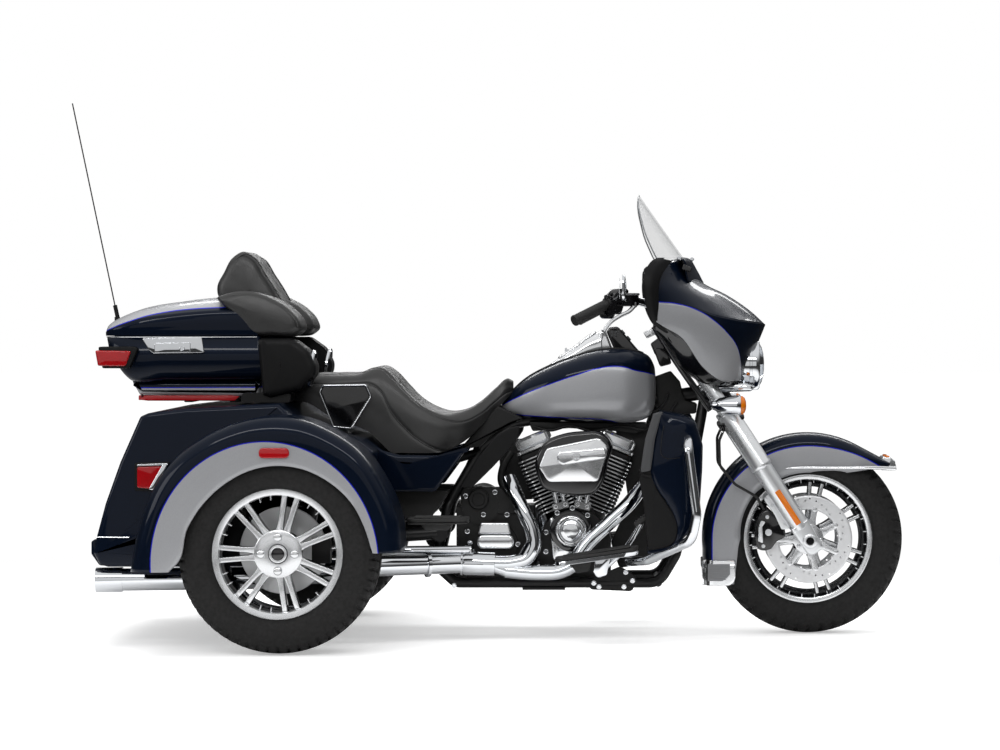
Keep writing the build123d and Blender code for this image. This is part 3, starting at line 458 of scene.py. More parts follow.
# wrinkle finish on engine castings
wrinkleBlack = finish("wrinkle black casting", "090909", "101010", 20, (0.4, 0.56), 8, bump=("Noise", 1.6, 0.06),
                      **{"Specular IOR Level": 0.3})
# injection moulded, grained
grainedPlastic = finish("grained black plastic", "0c0c0d", "111112", 50, (0.42, 0.56), 18,
                        bump=("Voronoi", 1.3, 0.05), **{"Specular IOR Level": 0.18})
glossBlack = finish("gloss black moulding", "08080a", "0c0c0e", 60, (0.08, 0.14), 30, coat=0.6)
# tyre compound: matt, slightly grey with handling
tyreRubber = finish("tyre rubber", "0d0d0d", "141313", 35, (0.62, 0.8), 10, bump=("Noise", 1.5, 0.05),
                    **{"Specular IOR Level": 0.35})
gripRubber = finish("grip rubber", "171717", "1e1e1e", 20, (0.55, 0.7), 8, bump=("Voronoi", 1.6, 0.06))
# upholstery vinyl: pebble grain, soft sheen
seatVinyl = finish("grained upholstery vinyl", "0e0e0e", "151515", 80, (0.4, 0.5), 26, bump=("Voronoi", 2.4, 0.07),
                   **{"Specular IOR Level": 0.85})


def clearPart(name, colour, rough, through, **more):
    # clear plastic coloured through: light passes and tints
    material, tree, principled, place = startMaterial(
        name, **{"Transmission Weight": through, "Roughness": rough, "IOR": 1.49, "Coat Weight": 0.3, **more})
    dust = texture(tree, place, "Noise", 70, Detail=3.0)
    tone = addNode(tree, "Mix", links={"Factor": dust.outputs[0]}, data_type="RGBA")
    tone.inputs[6].default_value = linearColour(colour)
    tone.inputs[7].default_value = tuple(0.94 * c for c in linearColour(colour)[:3]) + (1.0,)
    tree.links.new(tone.outputs[2], principled.inputs["Base Color"])
    return material


# acrylic lamp lenses and the polycarbonate screen
redLens = clearPart("red acrylic lens", "b80d16", 0.06, 0.25)
amberLens = clearPart("amber acrylic lens", "ee7e06", 0.06, 0.15)
clearLens = clearPart("clear polycarbonate lens", "f4f6f8", 0.02, 1.0)


def thinSheet(name, colour, faceOn, edgeOn):
    # a thin clear sheet: it covers little of what lies behind it face on and more at a glance
    material, tree, principled, place = startMaterial(name,
                                                      **{"Roughness": 0.25, "IOR": 1.3, "Specular IOR Level": 0.1})
    dust = texture(tree, place, "Noise", 90, Detail=3.0)
    tone = addNode(tree, "Mix", links={"Factor": dust.outputs[0]}, data_type="RGBA")
    tone.inputs[6].default_value = linearColour(colour)
    tone.inputs[7].default_value = tuple(0.96 * c for c in linearColour(colour)[:3]) + (1.0,)
    tree.links.new(tone.outputs[2], principled.inputs["Base Color"])
    glance = addNode(tree, "LayerWeight", {"Blend": 0.3})
    cover = addNode(tree, "MapRange", {"From Min": 0.45, "From Max": 0.98, "To Min": faceOn, "To Max": edgeOn},
                    {"Value": glance.outputs["Facing"]})
    tree.links.new(cover.outputs[0], principled.inputs["Alpha"])
    return material


screenTint = thinSheet("lightly smoked polycarbonate", "84878a", 0.1, 0.3)

# CAD nodes' materials

nodeMaterials = {
    "frame": powderBlack, "engine_cases": wrinkleBlack, "rear_cylinder": wrinkleBlack,
    "front_cylinder": wrinkleBlack, "rocker_covers": chrome, "air_cleaner": chrome, "engine_covers": chrome,
    "primary_cover": chrome, "exhaust_pipes": chrome, "mufflers": chrome, "rear_axle": powderBlack,
    "fuel_tank": greyPaint, "tank_console": chrome, "fuel_door": navyPaint, "seat": seatVinyl,
    "side_panels": navyPaint, "heat_deflectors": grainedPlastic, "rear_body": navyPaint, "trunk_door": navyPaint,
    "rear_fender_right": greyPaint, "rear_fender_left": greyPaint, "red_lamps": redLens, "luggage_box": navyPaint,
    "luggage_lid": navyPaint, "backrest": seatVinyl, "speaker_pods": grainedPlastic, "antenna": powderBlack,
    "lower_fairings": navyPaint, "engine_guard": chrome, "footboards": grainedPlastic, "fork": buffedAlloy,
    "front_fender": greyPaint, "fairing": navyPaint, "dash": grainedPlastic, "windshield": screenTint,
    "front_lamps": chrome, "handlebar": chrome, "hand_controls": gripRubber, "mirrors": glossBlack,
    "front_calipers": wrinkleBlack, "front_tyre": tyreRubber, "front_rim": polishedAlloy,
    "front_discs": groundSteel, "rear_tyre_right": tyreRubber, "rear_tyre_left": tyreRubber,
    "rear_rim_right": polishedAlloy, "rear_rim_left": polishedAlloy, "brake_hoses": gripRubber,
}
for nodeName, material in nodeMaterials.items():
    mesh = nodes[nodeName].data
    mesh.materials.clear()
    mesh.materials.append(material)
print("materials ready")

# wheels

def spun(shape, centre, count, start=0.0):
    # the shape repeated evenly about an axle
    return copies(shape, turns((0, 1, 0), start + np.arange(count) * 360 / count), centre)


tyreSizes = {
    "front": {"half": 65, "bead": 209, "beadHalf": 46, "shoulder": 53, "shoulderR": 299, "pitches": 46, "steps": 9},
    "rear": {"half": 102, "bead": 203, "beadHalf": 84, "shoulder": 88, "shoulderR": 304, "pitches": 58, "steps": 7},
    "grooveDepth": 8,
}


def tyreShape(centre, size):
    # the section is a closed smooth curve through bead, side wall, shoulder and crown; on the tread the
    # radius drops inside two straight grooves and inside slots that slant back from the shoulders,
    # and the side wall carries a few low rings
    half, bead, inner = size["half"], size["bead"], size["beadHalf"]
    shoulder, shoulderR, crown = size["shoulder"], size["shoulderR"], tyreRadius
    wall = [(-inner, bead), (-half + 7, bead + 12), (-half + 1, bead + 32), (-half, (bead + shoulderR) / 2),
            (-half + 3, shoulderR - 26), (-shoulder - 2, shoulderR - 4)]
    tread = [(-y, crown - (crown - shoulderR) * abs(y / shoulder) ** 2.2)
             for y in np.linspace(shoulder * 0.94, -shoulder * 0.94, 9)]
    profile = throughPoints(wall + tread + [(-y, r) for y, r in wall[::-1]], 90)
    y, r = profile[:, 0], profile[:, 1]
    angle = np.linspace(0, 2 * math.pi, size["pitches"] * size["steps"], endpoint=False)
    turn = angle[None] * size["pitches"] / (2 * math.pi)
    across = (np.abs(y) / shoulder)[:, None]
    onTread = (r > shoulderR - 15)[:, None]
    straight = (np.abs(across - 0.33) < 0.05) * (across < 0.5)
    slot = ((turn + 0.5 * across + 0.25 * np.sign(y)[:, None]) % 1 < 0.3) & (across > 0.45)
    thin = ((2 * turn + 0.3 * across) % 1 < 0.12) & (across < 0.22)
    depth = tyreSizes["grooveDepth"] * onTread * np.maximum(straight, np.maximum(slot, 0.7 * thin))
    rings = 0.9 * (np.abs(r - bead - 16) < 1.6) + 0.8 * (np.abs(r - shoulderR + 34) < 1.4)
    out = (r[:, None] - depth)
    side = y[:, None] + np.sign(y)[:, None] * (rings * (np.abs(y) > inner))[:, None]
    grid = np.stack([centre[0] + out * np.sin(angle), centre[1] + side + 0 * angle,
                     centre[2] + out * np.cos(angle)],
                    -1)
    return gridShape(grid, closeU=True, closeV=True)


spokeSizes = {"count": 7, "rearStart": 12.6, "frontStart": 9.0, "width": 15.6}


def spokeOutline(inner, outer, side, grow=0.0):
    # one of a pair of bars that lean apart outwards; its foot flares into the hub
    r = np.array([inner, inner + 16, inner + 34, outer])
    middle = 11.75 + (r - 80) * 0.082
    half = np.array([12.5, 9.0, spokeSizes["width"] / 2, spokeSizes["width"] / 2]) + grow
    left = np.stack([middle - half, r], 1)
    right = np.stack([middle + half, r], 1)[::-1]
    outline = np.vstack([left, right])
    outline[:, 0] *= side
    return outline


def spokePairs(centre, y0, y1, inner, outer, start, grow=0.0, edge=1.5):
    bars = [plate(spokeOutline(inner, outer, side, grow), y0, y1, edge, count=44) for side in (-1, 1)]
    bars = moved(joined(*bars), (centre[0], 0, centre[2]))
    return spun(bars, centre, spokeSizes["count"], start)


def perforatedRing(centre, y, inner, outer, rows, columns, hole, every):
    # a flat ring of cells between two radii; a cell chosen by the pattern holds a round hole, drawn as
    # eight quads between the cell's rim and the hole's circle
    i, j = np.meshgrid(np.arange(rows), np.arange(columns), indexing="ij")
    i, j = i.ravel(), j.ravel()
    chosen = ((j + 3 * i) % every == 0) & (i > 0) & (i < rows - 1)
    u = np.array([-1, 0, 1, 1, 1, 0, -1, -1]) / 2
    v = np.array([-1, -1, -1, 0, 1, 1, 1, 0]) / 2
    step = (outer - inner) / rows
    radius = inner + (i[:, None] + 0.5 + u) * step
    angle = (j[:, None] + 0.5 + v) * 2 * math.pi / columns
    rim = np.stack([centre[0] + radius * np.sin(angle), np.full_like(radius, y),
                    centre[2] + radius * np.cos(angle)],
                   -1)
    middle = rim.mean(1, keepdims=True)
    holes = middle + (rim - middle) / np.linalg.norm(rim - middle, axis=2, keepdims=True) * hole
    plain = rim[~chosen][:, [0, 2, 4, 6]].reshape(-1, 3)
    plainFaces = np.arange(len(plain)).reshape(-1, 4)
    cut = np.concatenate([rim[chosen], holes[chosen]], 1).reshape(-1, 3)
    k = np.arange(8)
    quads = np.stack([k, (k + 1) % 8, (k + 1) % 8 + 8, k + 8], 1)
    cutFaces = (np.arange(chosen.sum())[:, None, None] * 16 + quads[None]).reshape(-1, 4)
    return joined((plain, plainFaces.tolist()), (cut, cutFaces.tolist()))


def boltHead(centre, outward, radius, height, dome=0.35):
    # a domed nut: a short hexagon-like collar under a rounded cap
    t = np.linspace(0, math.pi / 2, 6)
    cap = [(height * (1 - dome) + height * dome * math.sin(a), radius * math.cos(a) + 1e-3) for a in t]
    return lathe([(0, radius * 1.12), (height * 0.3, radius * 1.12), (height * 0.3, radius)] + cap, centre,
                 outward, 20)


def rearWheel(side, body, suffix):
    centre = np.array([rearAxle[0], side * rearWheelY, rearAxle[2]])

    def at(y):
        # the right wheel's y, on the side this wheel is on
        return side * -y

    addPiece("rear_tyre_" + suffix + "_tread", tyreShape(centre, tyreSizes["rear"]), body, tyreRubber, sharp=50,
             replaces="rear_tyre_" + suffix)
    ring = [(at(-641), 204), (at(-643.5), 202.5), (at(-643), 191), (at(-641), 184), (at(-636), 181.5),
            (at(-624), 181.5), (at(-620), 192), (at(-634), 204)]
    lip = lathe(ring, (centre[0], 0, centre[2]), ring=True, segments=160)
    innerLip = lathe([(at(-466), 203), (at(-468), 190), (at(-480), 184), (at(-484), 192), (at(-474), 203)],
                     (centre[0], 0, centre[2]), ring=True, segments=120)
    face = lathe([(at(-626), 30), (at(-629.5), 31), (at(-629.5), 72.5), (at(-628), 74.5), (at(-618), 74.5),
                  (at(-618), 30)], (centre[0], 0, centre[2]), ring=True, segments=96)
    collar = lathe([(at(-628), 29), (at(-634), 27.5), (at(-635), 24), (at(-634), 20.5), (at(-628), 20)],
                   (centre[0], 0, centre[2]), ring=True, segments=64)
    bars = spokePairs(centre, at(-620), at(-626.5), 68, 184, spokeSizes["rearStart"], edge=1.6)
    studs = spun(boltHead((centre[0], at(-629), centre[2] + 53), (0, at(-1), 0), 12.5, 13), centre, 4)
    gaps = 360 / spokeSizes["count"]
    ribs = [spun(moved(block(-1.6, 1.6, at(-600), at(-628), 168, 183, 0.6), (centre[0], 0, centre[2])), centre,
                 spokeSizes["count"], spokeSizes["rearStart"] + gaps / 2 + away) for away in (-5.6, 5.6)]
    addPiece("rear_wheel_" + suffix + "_bright_faces", joined(lip, innerLip, face, collar, bars, studs, *ribs),
             body, polishedAlloy, replaces="rear_rim_" + suffix)
    barrel = lathe([(at(-636), 186), (at(-620), 180.5), (at(-560), 176), (at(-476), 178), (at(-476), 186),
                    (at(-560), 185), (at(-636), 193)], (centre[0], 0, centre[2]), ring=True, segments=120)
    hub = lathe([(at(-618), 76), (at(-590), 72), (at(-560), 58), (at(-494), 56)], (centre[0], 0, centre[2]),
                segments=64)
    bodies = spokePairs(centre, at(-594), at(-620.5), 60, 182, spokeSizes["rearStart"], grow=1.4, edge=2.5)
    cap = lathe([(at(-600), 20.2), (at(-630), 20.2), (at(-632), 17), (at(-632.6), 0.5)], (centre[0], 0, centre[2]),
                segments=48)
    addPiece("rear_wheel_" + suffix + "_black_casting", joined(barrel, hub, bodies, cap), body, glossBlack,
             replaces="rear_rim_" + suffix)
    rotor = lathe([(at(-494), 137), (at(-493), 138), (at(-487), 138), (at(-486), 137), (at(-486), 62),
                   (at(-494), 62)],
                  (centre[0], 0, centre[2]), ring=True, segments=120)
    shaft = rod((centre[0], at(-492), centre[2]), (centre[0], at(-404), centre[2]), 17)
    addPiece("rear_wheel_" + suffix + "_disc", joined(rotor, shaft), body, groundSteel,
             replaces="rear_rim_" + suffix)


def frontWheel():
    centre = frontAxle
    body = "front_wheel"
    addPiece("front_tyre_tread", tyreShape(centre, tyreSizes["front"]), body, tyreRubber, sharp=50,
             replaces="front_tyre")
    lip = lathe([(-49.5, 215), (-50.5, 211), (-50, 203), (-48, 198), (-42, 196), (-33, 195), (-31, 204),
                 (-42, 215)],
                centre, ring=True, segments=160)
    bars = [spokePairs(centre, side * 20, side * 25, 52, 197, spokeSizes["frontStart"], grow=-2.6)
            for side in (-1, 1)]
    ribs = [spun(moved(block(-1.4, 1.4, side * 24, side * 40, 186, 197, 0.5), (centre[0], 0, centre[2])), centre,
                 28, 6.0) for side in (-1, 1)]
    hub = lathe([(-64, 33), (-58, 34), (-34, 34), (-28, 46), (28, 46), (34, 34), (58, 34), (64, 33)], centre)
    addPiece("front_wheel_bright_faces", joined(lip, flipped(lip), hub, *bars, *ribs), body, polishedAlloy,
             replaces="front_rim")
    barrel = lathe([(-44, 197), (-26, 188), (-16, 172), (16, 172), (26, 188), (44, 197), (44, 203), (26, 197),
                    (-26, 197), (-44, 203)], centre, ring=True, segments=120)
    bodies = spokePairs(centre, -20.5, 20.5, 40, 194, spokeSizes["frontStart"], grow=-1.0, edge=2.5)
    addPiece("front_wheel_black_casting", joined(barrel, bodies), body, glossBlack, replaces="front_rim")
    discs, carriers = [], []
    for side in (-1, 1):
        discs.append(perforatedRing(centre, side * 72.5, 98, 145, 7, 110, 3.0, 15))
        arm = moved(plate(filleted([(-17, 40, 4), (17, 40, 4), (9, 72, 8), (11, 106, 6), (-11, 106, 6),
                                    (-9, 72, 8)]),
                          side * 66, side * 73.5, 1, count=40), (centre[0], 0, centre[2]))
        bobbin = lathe([(side * 69, 8), (side * 76, 8), (side * 76.5, 5), (side * 76.5, 1)],
                       (centre[0], 0, centre[2] + 101), segments=20)
        bolt = boltHead((centre[0], side * 73, centre[2] + 40), (0, side, 0), 5.5, 5)
        carrierHub = lathe([(side * 64.5, 50), (side * 73.5, 50), (side * 74.5, 47), (side * 74.5, 20),
                            (side * 64.5, 20)], centre, ring=True)
        carriers += [spun(joined(arm, bobbin), centre, 7, 12), spun(bolt, centre, 5, 20), carrierHub]
    addPiece("front_brake_rotors", joined(*discs), body, groundSteel, thickness=4.6, offset=0.0,
             replaces="front_discs")
    addPiece("front_rotor_carriers", joined(*carriers), body, polishedAlloy, replaces="front_discs")


rearWheel(-1, "rear_wheel_right", "right")
rearWheel(1, "rear_wheel_left", "left")
frontWheel()
print("wheels done")
# rear fenders

fenderSizes = {"inner": 430, "outer": 684, "round": 52, "lip": 14, "wall": 4}
fenderCrown = [(-1048, 262), (-1024, 389), (-966, 538), (-880, 640), (-774, 703), (-660, 738), (-591, 743),
               (-520, 735), (-436, 703), (-334, 635), (-266, 540), (-216, 423), (-205, 322)]
fenderOpening = [(-925, 263), (-892, 300), (-868, 395), (-822, 470), (-750, 538), (-670, 580), (-587, 594),
                 (-505, 582), (-425, 542), (-360, 482), (-318, 405), (-298, 345), (-291, 322)]
# the pinstripe's oval, x and z of its centre and its two half sizes
fenderOval = (-626, 290, 352, 377)
rearFenderPaint = lacquer("two tone lacquer with pinstripe, rear fender", paint["navy"], withinEllipse(*fenderOval))


def rearFender():
    # each row crosses the fender at one place along the arch: level crown, quarter-round shoulder, flat
    # face down to the opening and a lip turned in; rows are blended between the crown's line and the
    # opening's line
    crown = throughPoints(fenderCrown, 110, byPoint=True)
    opening = throughPoints(fenderOpening, 110, byPoint=True)
    size = fenderSizes
    a = np.linspace(0, math.pi / 2, 9)
    depth = np.linalg.norm(crown - opening, axis=1)
    shoulder = size["round"] * (1 - np.cos(a))
    away = size["outer"] - size["round"] * (1 - np.sin(a))
    level = np.linspace(size["inner"], away[0], 5, endpoint=False)
    sideways = np.concatenate([level, away, np.full(8, size["outer"]) - 4 * np.linspace(0, 1, 8) ** 2,
                               [size["outer"] - 6, size["outer"] - size["lip"]]])
    drop = np.concatenate([np.zeros(5), shoulder])
    share = np.concatenate([drop[None] / depth[:, None],
                            np.linspace(size["round"], depth, 9, axis=1)[:, 1:] / depth[:, None],
                            np.ones((len(depth), 2)) * [[1.012, 1.016]]], 1)
    x = crown[:, :1] + (opening - crown)[:, :1] * share
    z = crown[:, 1:] + (opening - crown)[:, 1:] * share
    return gridShape(np.stack([x, -np.broadcast_to(sideways, x.shape), z], -1))


for side, name in ((1, "right"), (-1, "left")):
    shape = rearFender() if side > 0 else flipped(rearFender())
    addPiece("rear_fender_" + name + "_shell", shape, "chassis", rearFenderPaint, thickness=fenderSizes["wall"],
             replaces="rear_fender_" + name, sharp=50)
    # the rear flap behind the opening's foot closes the arch towards the body
    liner = plate([(-1040, 262), (-1018, 385), (-962, 532), (-877, 634), (-772, 697), (-658, 732), (-591, 737),
                   (-522, 729), (-438, 697), (-338, 630), (-272, 536), (-223, 421), (-212, 322), (-290, 322),
                   (-345, 420), (-420, 480), (-716, 480), (-716, 262)], -429, -434, 1, count=120)
    addPiece("rear_fender_" + name + "_liner", liner if side > 0 else flipped(liner), "chassis", grainedPlastic,
             replaces="rear_fender_" + name)
print("rear fenders done")

# rear body and trunk door

bodySizes = {"half": 428, "round": 14, "wall": 5, "doorHalf": 318, "doorLow": 352, "doorHigh": 716, "doorGap": 3}
bodyOutline = [(-1204, 300, 10), (-1197, 345, 0), (-1196.2, 349, 0), (-1167, 458, 0), (-1120, 590, 0),
               (-1063.1, 719, 0), (-1056, 735, 16), (-1030, 746, 20), (-915, 760, 0), (-616, 775, 10),
               (-571, 732, 6), (-422, 667, 20), (-357, 656, 10), (-312, 622, 10), (-335, 490, 14),
               (-700, 470, 10), (-716, 258, 10), (-1160, 256, 20), (-1186, 264, 16)]


def ringsAcross(outline, half, rounding, levels):
    # the outline carried across the vehicle; near each side it draws in on a quarter circle
    a = np.linspace(0, math.pi / 2, 6)
    rings = [(inset(outline, rounding * (1 - math.sin(t))), -half + rounding * (1 - math.cos(t))) for t in a]
    rings += [(outline, y) for y in levels]
    rings += [(ring, -y) for ring, y in rings[5::-1]]
    return np.stack([np.stack([o[:, 0], np.full(len(o), y), o[:, 1]], 1) for o, y in rings])


def rearBody():
    size = bodySizes
    outline = filleted(bodyOutline, 6)
    edge = size["doorHalf"] + size["doorGap"]
    grid = ringsAcross(outline, size["half"], size["round"], [-edge, -edge / 2, 0, edge / 2, edge])
    points, faces = gridShape(grid, closeV=True, capU=True)
    middle = np.array([points[face].mean(0) for face in faces])
    inDoor = ((np.abs(middle[:, 1]) < edge) & (middle[:, 0] < -1000) & (middle[:, 2] > 349)
              & (middle[:, 2] < 719))
    return points, [face for face, gone in zip(faces, inDoor) if not gone]


addPiece("rear_body_shell", rearBody(), "chassis", navyPaint, thickness=bodySizes["wall"], sharp=32,
         replaces="rear_body")


def trunkDoor():
    # the sloping face between the door's edges, with its rim rolled inwards by a quarter circle
    size = bodySizes
    rise = np.linspace(size["doorLow"], size["doorHigh"], 24)
    face = np.array([(-1197, 345), (-1167, 458), (-1120, 590), (-1056, 735)])
    x = np.interp(rise, face[:, 1], face[:, 0])
    across = np.linspace(-size["doorHalf"], size["doorHalf"], 40)
    u, v = np.meshgrid(np.linspace(-1, 1, 24), np.linspace(-1, 1, 40), indexing="ij")
    rim = np.maximum(np.clip((np.abs(u) - 0.94) / 0.06, 0, 1), np.clip((np.abs(v) - 0.965) / 0.035, 0, 1))
    roll = 7 * (1 - np.sqrt(1 - rim**2))
    panel = 5 * ((np.abs(v) < 0.42) & (u < -0.1) & (u > -0.78))
    grid = np.stack([x[:, None] + (roll + panel) * 0.94, np.broadcast_to(across, u.shape),
                     rise[:, None] - (roll + panel) * 0.34], -1)
    return gridShape(grid)


addPiece("trunk_door_skin", trunkDoor(), "trunk_lid", navyPaint, thickness=16, offset=-1.0, sharp=30,
         replaces="trunk_door")


doorHandle = [(-1100, -150, 676), (-1106, -148, 672), (-1110, -120, 668), (-1112, 0, 668), (-1110, 120, 668),
              (-1106, 148, 672), (-1100, 150, 676)]
addPiece("trunk_door_handle", tube(throughPoints(doorHandle, 60), 7, 14, up=(0, 0, 1)), "trunk_lid", chrome,
         replaces="trunk_door")
doorLock = lathe([(0, 12), (5, 12), (6, 10), (6, 5), (4.5, 4.5), (4.5, 0.5)], (-1094, 0, 640), (-0.94, 0, 0.34), 32)
addPiece("trunk_door_lock", doorLock, "trunk_lid", chrome)


def bumperRoll():
    # a soft-edged roll along the body's foot, curving forward at both ends
    outline = filleted([(-1205, 343, 5), (-1216, 335, 7), (-1216, 296, 12), (-1190, 259, 12), (-1158, 257, 6),
                        (-1176, 268, 10), (-1200, 300, 8), (-1198, 340, 4)], 5)
    return gridShape(ringsAcross(outline, 402, 4, [-250, 0, 250]), closeV=True, capU=True)


addPiece("rear_bumper_roll", bumperRoll(), "chassis", navyPaint, replaces="rear_body", sharp=50)
# a bright alloy cord along the body's side at the bumper's top edge: painted highlight, standing in for the white
# line along that edge
bumperHighlightLine = [(-1199, -428.6, 352), (-1176, -428.6, 352), (-1150, -428.6, 351.5), (-1090, -428.6, 351)]
addPiece("body_side_painted_highlights", pair(tube(bumperHighlightLine, 1.6, 8)), "chassis", polishedAlloy)
print("rear body done")

# red lamps


def lampBlock(outline, y0, y1, edge=3.0):
    return plate(filleted([(x, z, 5) for x, z in outline], 4), y0, y1, edge, count=72)


tailLens = lampBlock([(-1062, 510), (-1062, 576), (-975, 578), (-1018, 506)], -428.6, -444)
tailTrim = joined(lampBlock([(-978, 588), (-960, 588), (-1006, 503), (-1026, 503)], -428.6, -449, 2),
                  lampBlock([(-1062, 579), (-1062, 584), (-975, 588), (-975, 582)], -428.6, -446, 1))
tailHousing = lampBlock([(-1072, 500), (-1072, 588), (-958, 592), (-1000, 498)], -428.6, -434, 2)
boxSide = 296
boxLens = joined(lampBlock([(-1222, 944), (-1212, 894), (-1124, 893), (-1106, 942)], -boxSide + 4, -boxSide - 11,
                           4),
                 lampBlock([(-1225, 944), (-1216, 894), (-1198, 894), (-1198, 944)], -208, -boxSide + 2, 3))
boxBezel = lampBlock([(-1214, 956), (-1200, 886), (-1112, 886), (-1084, 950), (-1096, 957)], -boxSide + 40,
                     -boxSide - 6, 4)
addPiece("red_lenses", pair(joined(tailLens, boxLens)), "chassis", redLens, replaces="red_lamps",
         sharp=50)
addPiece("tail_lamp_trims", pair(tailTrim), "chassis", chrome, sharp=50)
addPiece("lamp_housings", pair(joined(tailHousing, boxBezel)), "chassis", grainedPlastic,
         sharp=50)
markerLens = plate(filleted([(-643, 616, 15), (-549, 616, 15), (-549, 648, 15), (-643, 648, 15)], 8), -683.6,
                   -690.6, 4, count=96)
addPiece("fender_marker_lenses", pair(markerLens), "chassis", redLens, replaces="red_lamps",
         sharp=50)
print("lamps done")

# luggage box

# x, half width, low z, high z, power: rounded box sections from the rear to the front
boxStations = [(-1199, 222, 968, 989, 6), (-1186, 258, 930, 989, 7), (-1160, 278, 886, 989, 9),
               (-1126, 288, 848, 989, 11), (-1000, 294, 844, 989, 12), (-840, 295, 844, 989, 12),
               (-692, 291, 846, 989, 12)]


def boxRing(x, half, low, high, power, narrow, count=72):
    # a flat-topped section whose foot is narrower than its seam
    y, z = superRing(np.array([half]), np.array([low]), np.array([2 * high - low]), np.array([power]), count)
    y, z = y[0], z[0]
    y = y * (1 - narrow * (high - np.minimum(z, high)) / 145)
    return np.stack([np.full(count, x), y, np.minimum(z, high)], 1)


def luggageBox():
    rows = np.stack([boxRing(*station, 0.085) for station in boxStations])
    grid = throughPoints(rows.reshape(len(rows), -1), 60, byPoint=True).reshape(60, -1, 3)
    points, faces = gridShape(grid, closeV=True, capU=True)
    open_ = np.array([points[face][:, 2].min() > 988.5 for face in faces])
    return points, [face for face, top in zip(faces, open_) if not top]


addPiece("luggage_box_shell", luggageBox(), "chassis", navyPaint, thickness=5, sharp=40, replaces="luggage_box")

skirtPaint = lacquer("two tone lacquer with pinstripe, box foot", paint["navy"],
                     underCurve([(-1130, 821), (-690, 823)]))


def boxFoot():
    # the tray under the box draws in towards its foot and towards the rear
    outline = filleted([(-1120, 844, 4), (-1094, 798, 6), (-770, 792, 6), (-701, 798, 6), (-701, 844, 2)], 5)
    grid = ringsAcross(outline, 226, 16, [-120, 0, 120])
    return gridShape(grid, closeV=True, capU=True)


addPiece("luggage_box_foot", boxFoot(), "chassis", skirtPaint, replaces="luggage_box", sharp=40)
stripLamp = joined(pair(block(-1092, -768, -221, -227.5, 779, 797, 3)), block(-1097, -1088, -221, 221, 781, 797, 3))
addPiece("box_strip_lamp", stripLamp, "chassis", redLens, sharp=50)
boxPosts = [block(-960 + dx, -930 + dx, -150, 150, 772, 796, 2) for dx in (0, 150)]
addPiece("box_posts", joined(*boxPosts, block(-756, -596, -272, 272, 775, 806, 5)), "chassis",
         powderBlack, replaces="luggage_box")

lidStations = [(-1205, 214, 1008, 1019), (-1192, 252, 1017, 1038), (-1160, 276, 1028, 1058),
               (-1120, 287, 1040, 1076), (-980, 294, 1062, 1104), (-840, 294, 1074, 1118), (-701, 286, 1076, 1114)]


def luggageLid():
    # each section: up the side, a rounded shoulder, then a shallow crown over the middle
    rows = []
    for x, half, side, crown in lidStations:
        foot = 991
        up = [(half * 0.995, foot), (half, foot + 0.3 * (side - foot)), (half, foot + 0.7 * (side - foot)),
              (half - 5, side - 4), (half - 20, side + 5), (half * 0.78, side + 0.45 * (crown - side) + 4),
              (half * 0.42, side + 0.84 * (crown - side) + 2), (0, crown)]
        both = [(y, z) for y, z in up] + [(-y, z) for y, z in up[-2::-1]]
        rows.append([(x, y, min(z, crown)) for y, z in both])
    return skin(np.array(rows), 56, 90, capU=True)


lidPaint = lacquer("two tone lacquer with pinstripe, luggage lid", paint["grey"],
                   underCurve([(-1210, 1001), (-1174, 1017), (-1110, 1040), (-1038, 1061), (-929, 1077),
                               (-798, 1083), (-695, 1083)]), inner="navy")
addPiece("luggage_lid_shell", luggageLid(), "box_lid", lidPaint, thickness=4, sharp=50, replaces="luggage_lid")


def boxLatch():
    # chrome escutcheon with a raised flap and a round lock
    outline = filleted([(-1074, 983, 3), (-1050, 945, 12), (-1036, 934, 8), (-872, 936, 6), (-880, 989, 6)], 5)
    flap = filleted([(-1032, 968, 4), (-1032, 936, 4), (-916, 938, 4), (-916, 970, 4)], 4)
    lock = lathe([(0, 8), (-4, 8), (-5, 6.5), (-3.6, 5.5), (-3.6, 0.5)], (-942, -298, 950), (0, 1, 0), 28)
    return joined(plate(outline, -284, -295, 2, count=120), plate(flap, -294, -298.5, 1.6, count=90), lock)


for way, name in ((1, "right"), (-1, "left")):
    shape = boxLatch()
    addPiece("box_latch_" + name, shape if way > 0 else flipped(shape), "chassis", chrome, sharp=50)
# a bright alloy cord round the box at the lid's seam: painted highlight, standing in for the highlight line along
# the seam
seamHighlightRows = np.array([(-1200, 224), (-1182, 262), (-1150, 281), (-1118, 289.5), (-980, 295.5), (-840, 295.5),
                     (-702, 291)])
seamHighlightLine = throughPoints(np.stack([seamHighlightRows[:, 0], -seamHighlightRows[:, 1], np.full(7, 987.0)], 1), 60)
addPiece("box_seam_painted_highlights", pair(tube(seamHighlightLine, 1.5, 8)), "chassis", polishedAlloy)
print("luggage box done")

# backrest and speaker pods


def padded(name, shape, body, node, sharp=60):
    piece = addPiece(name, shape, body, seatVinyl, replaces=node, sharp=sharp)
    return piece


def cushion(outline, y0, y1, bulge, edge, tilt=0.0, count=120):
    # a pad seen from the side: its outline shrunk towards its middle on rounded edges at both faces,
    # the faces swelling as (1 - share squared)
    outline = resampled(outline, count)
    a = np.linspace(0, math.pi / 2, 7)
    middle = (y0 + y1) / 2
    half = abs(y1 - y0) / 2
    centre = outline.mean(0)
    radius = np.linalg.norm(outline - centre, axis=1).mean()
    core = 1 - edge / radius
    rings = [(core * share, -half - bulge * (1 - share**2)) for share in (0.15, 0.45, 0.7, 0.88)]
    rings += [(1 - edge / radius * (1 - math.sin(t)), -half + edge * (1 - math.cos(t))) for t in a]
    rings = [(centre + (outline - centre) * share, y) for share, y in rings]
    rings += [(ring, -y) for ring, y in rings[::-1]]
    grid = np.stack([np.stack([o[:, 0] + tilt * (y / half) ** 2, np.full(count, middle + y), o[:, 1]], 1)
                     for o, y in rings])
    return gridShape(grid, closeV=True, capU=True)


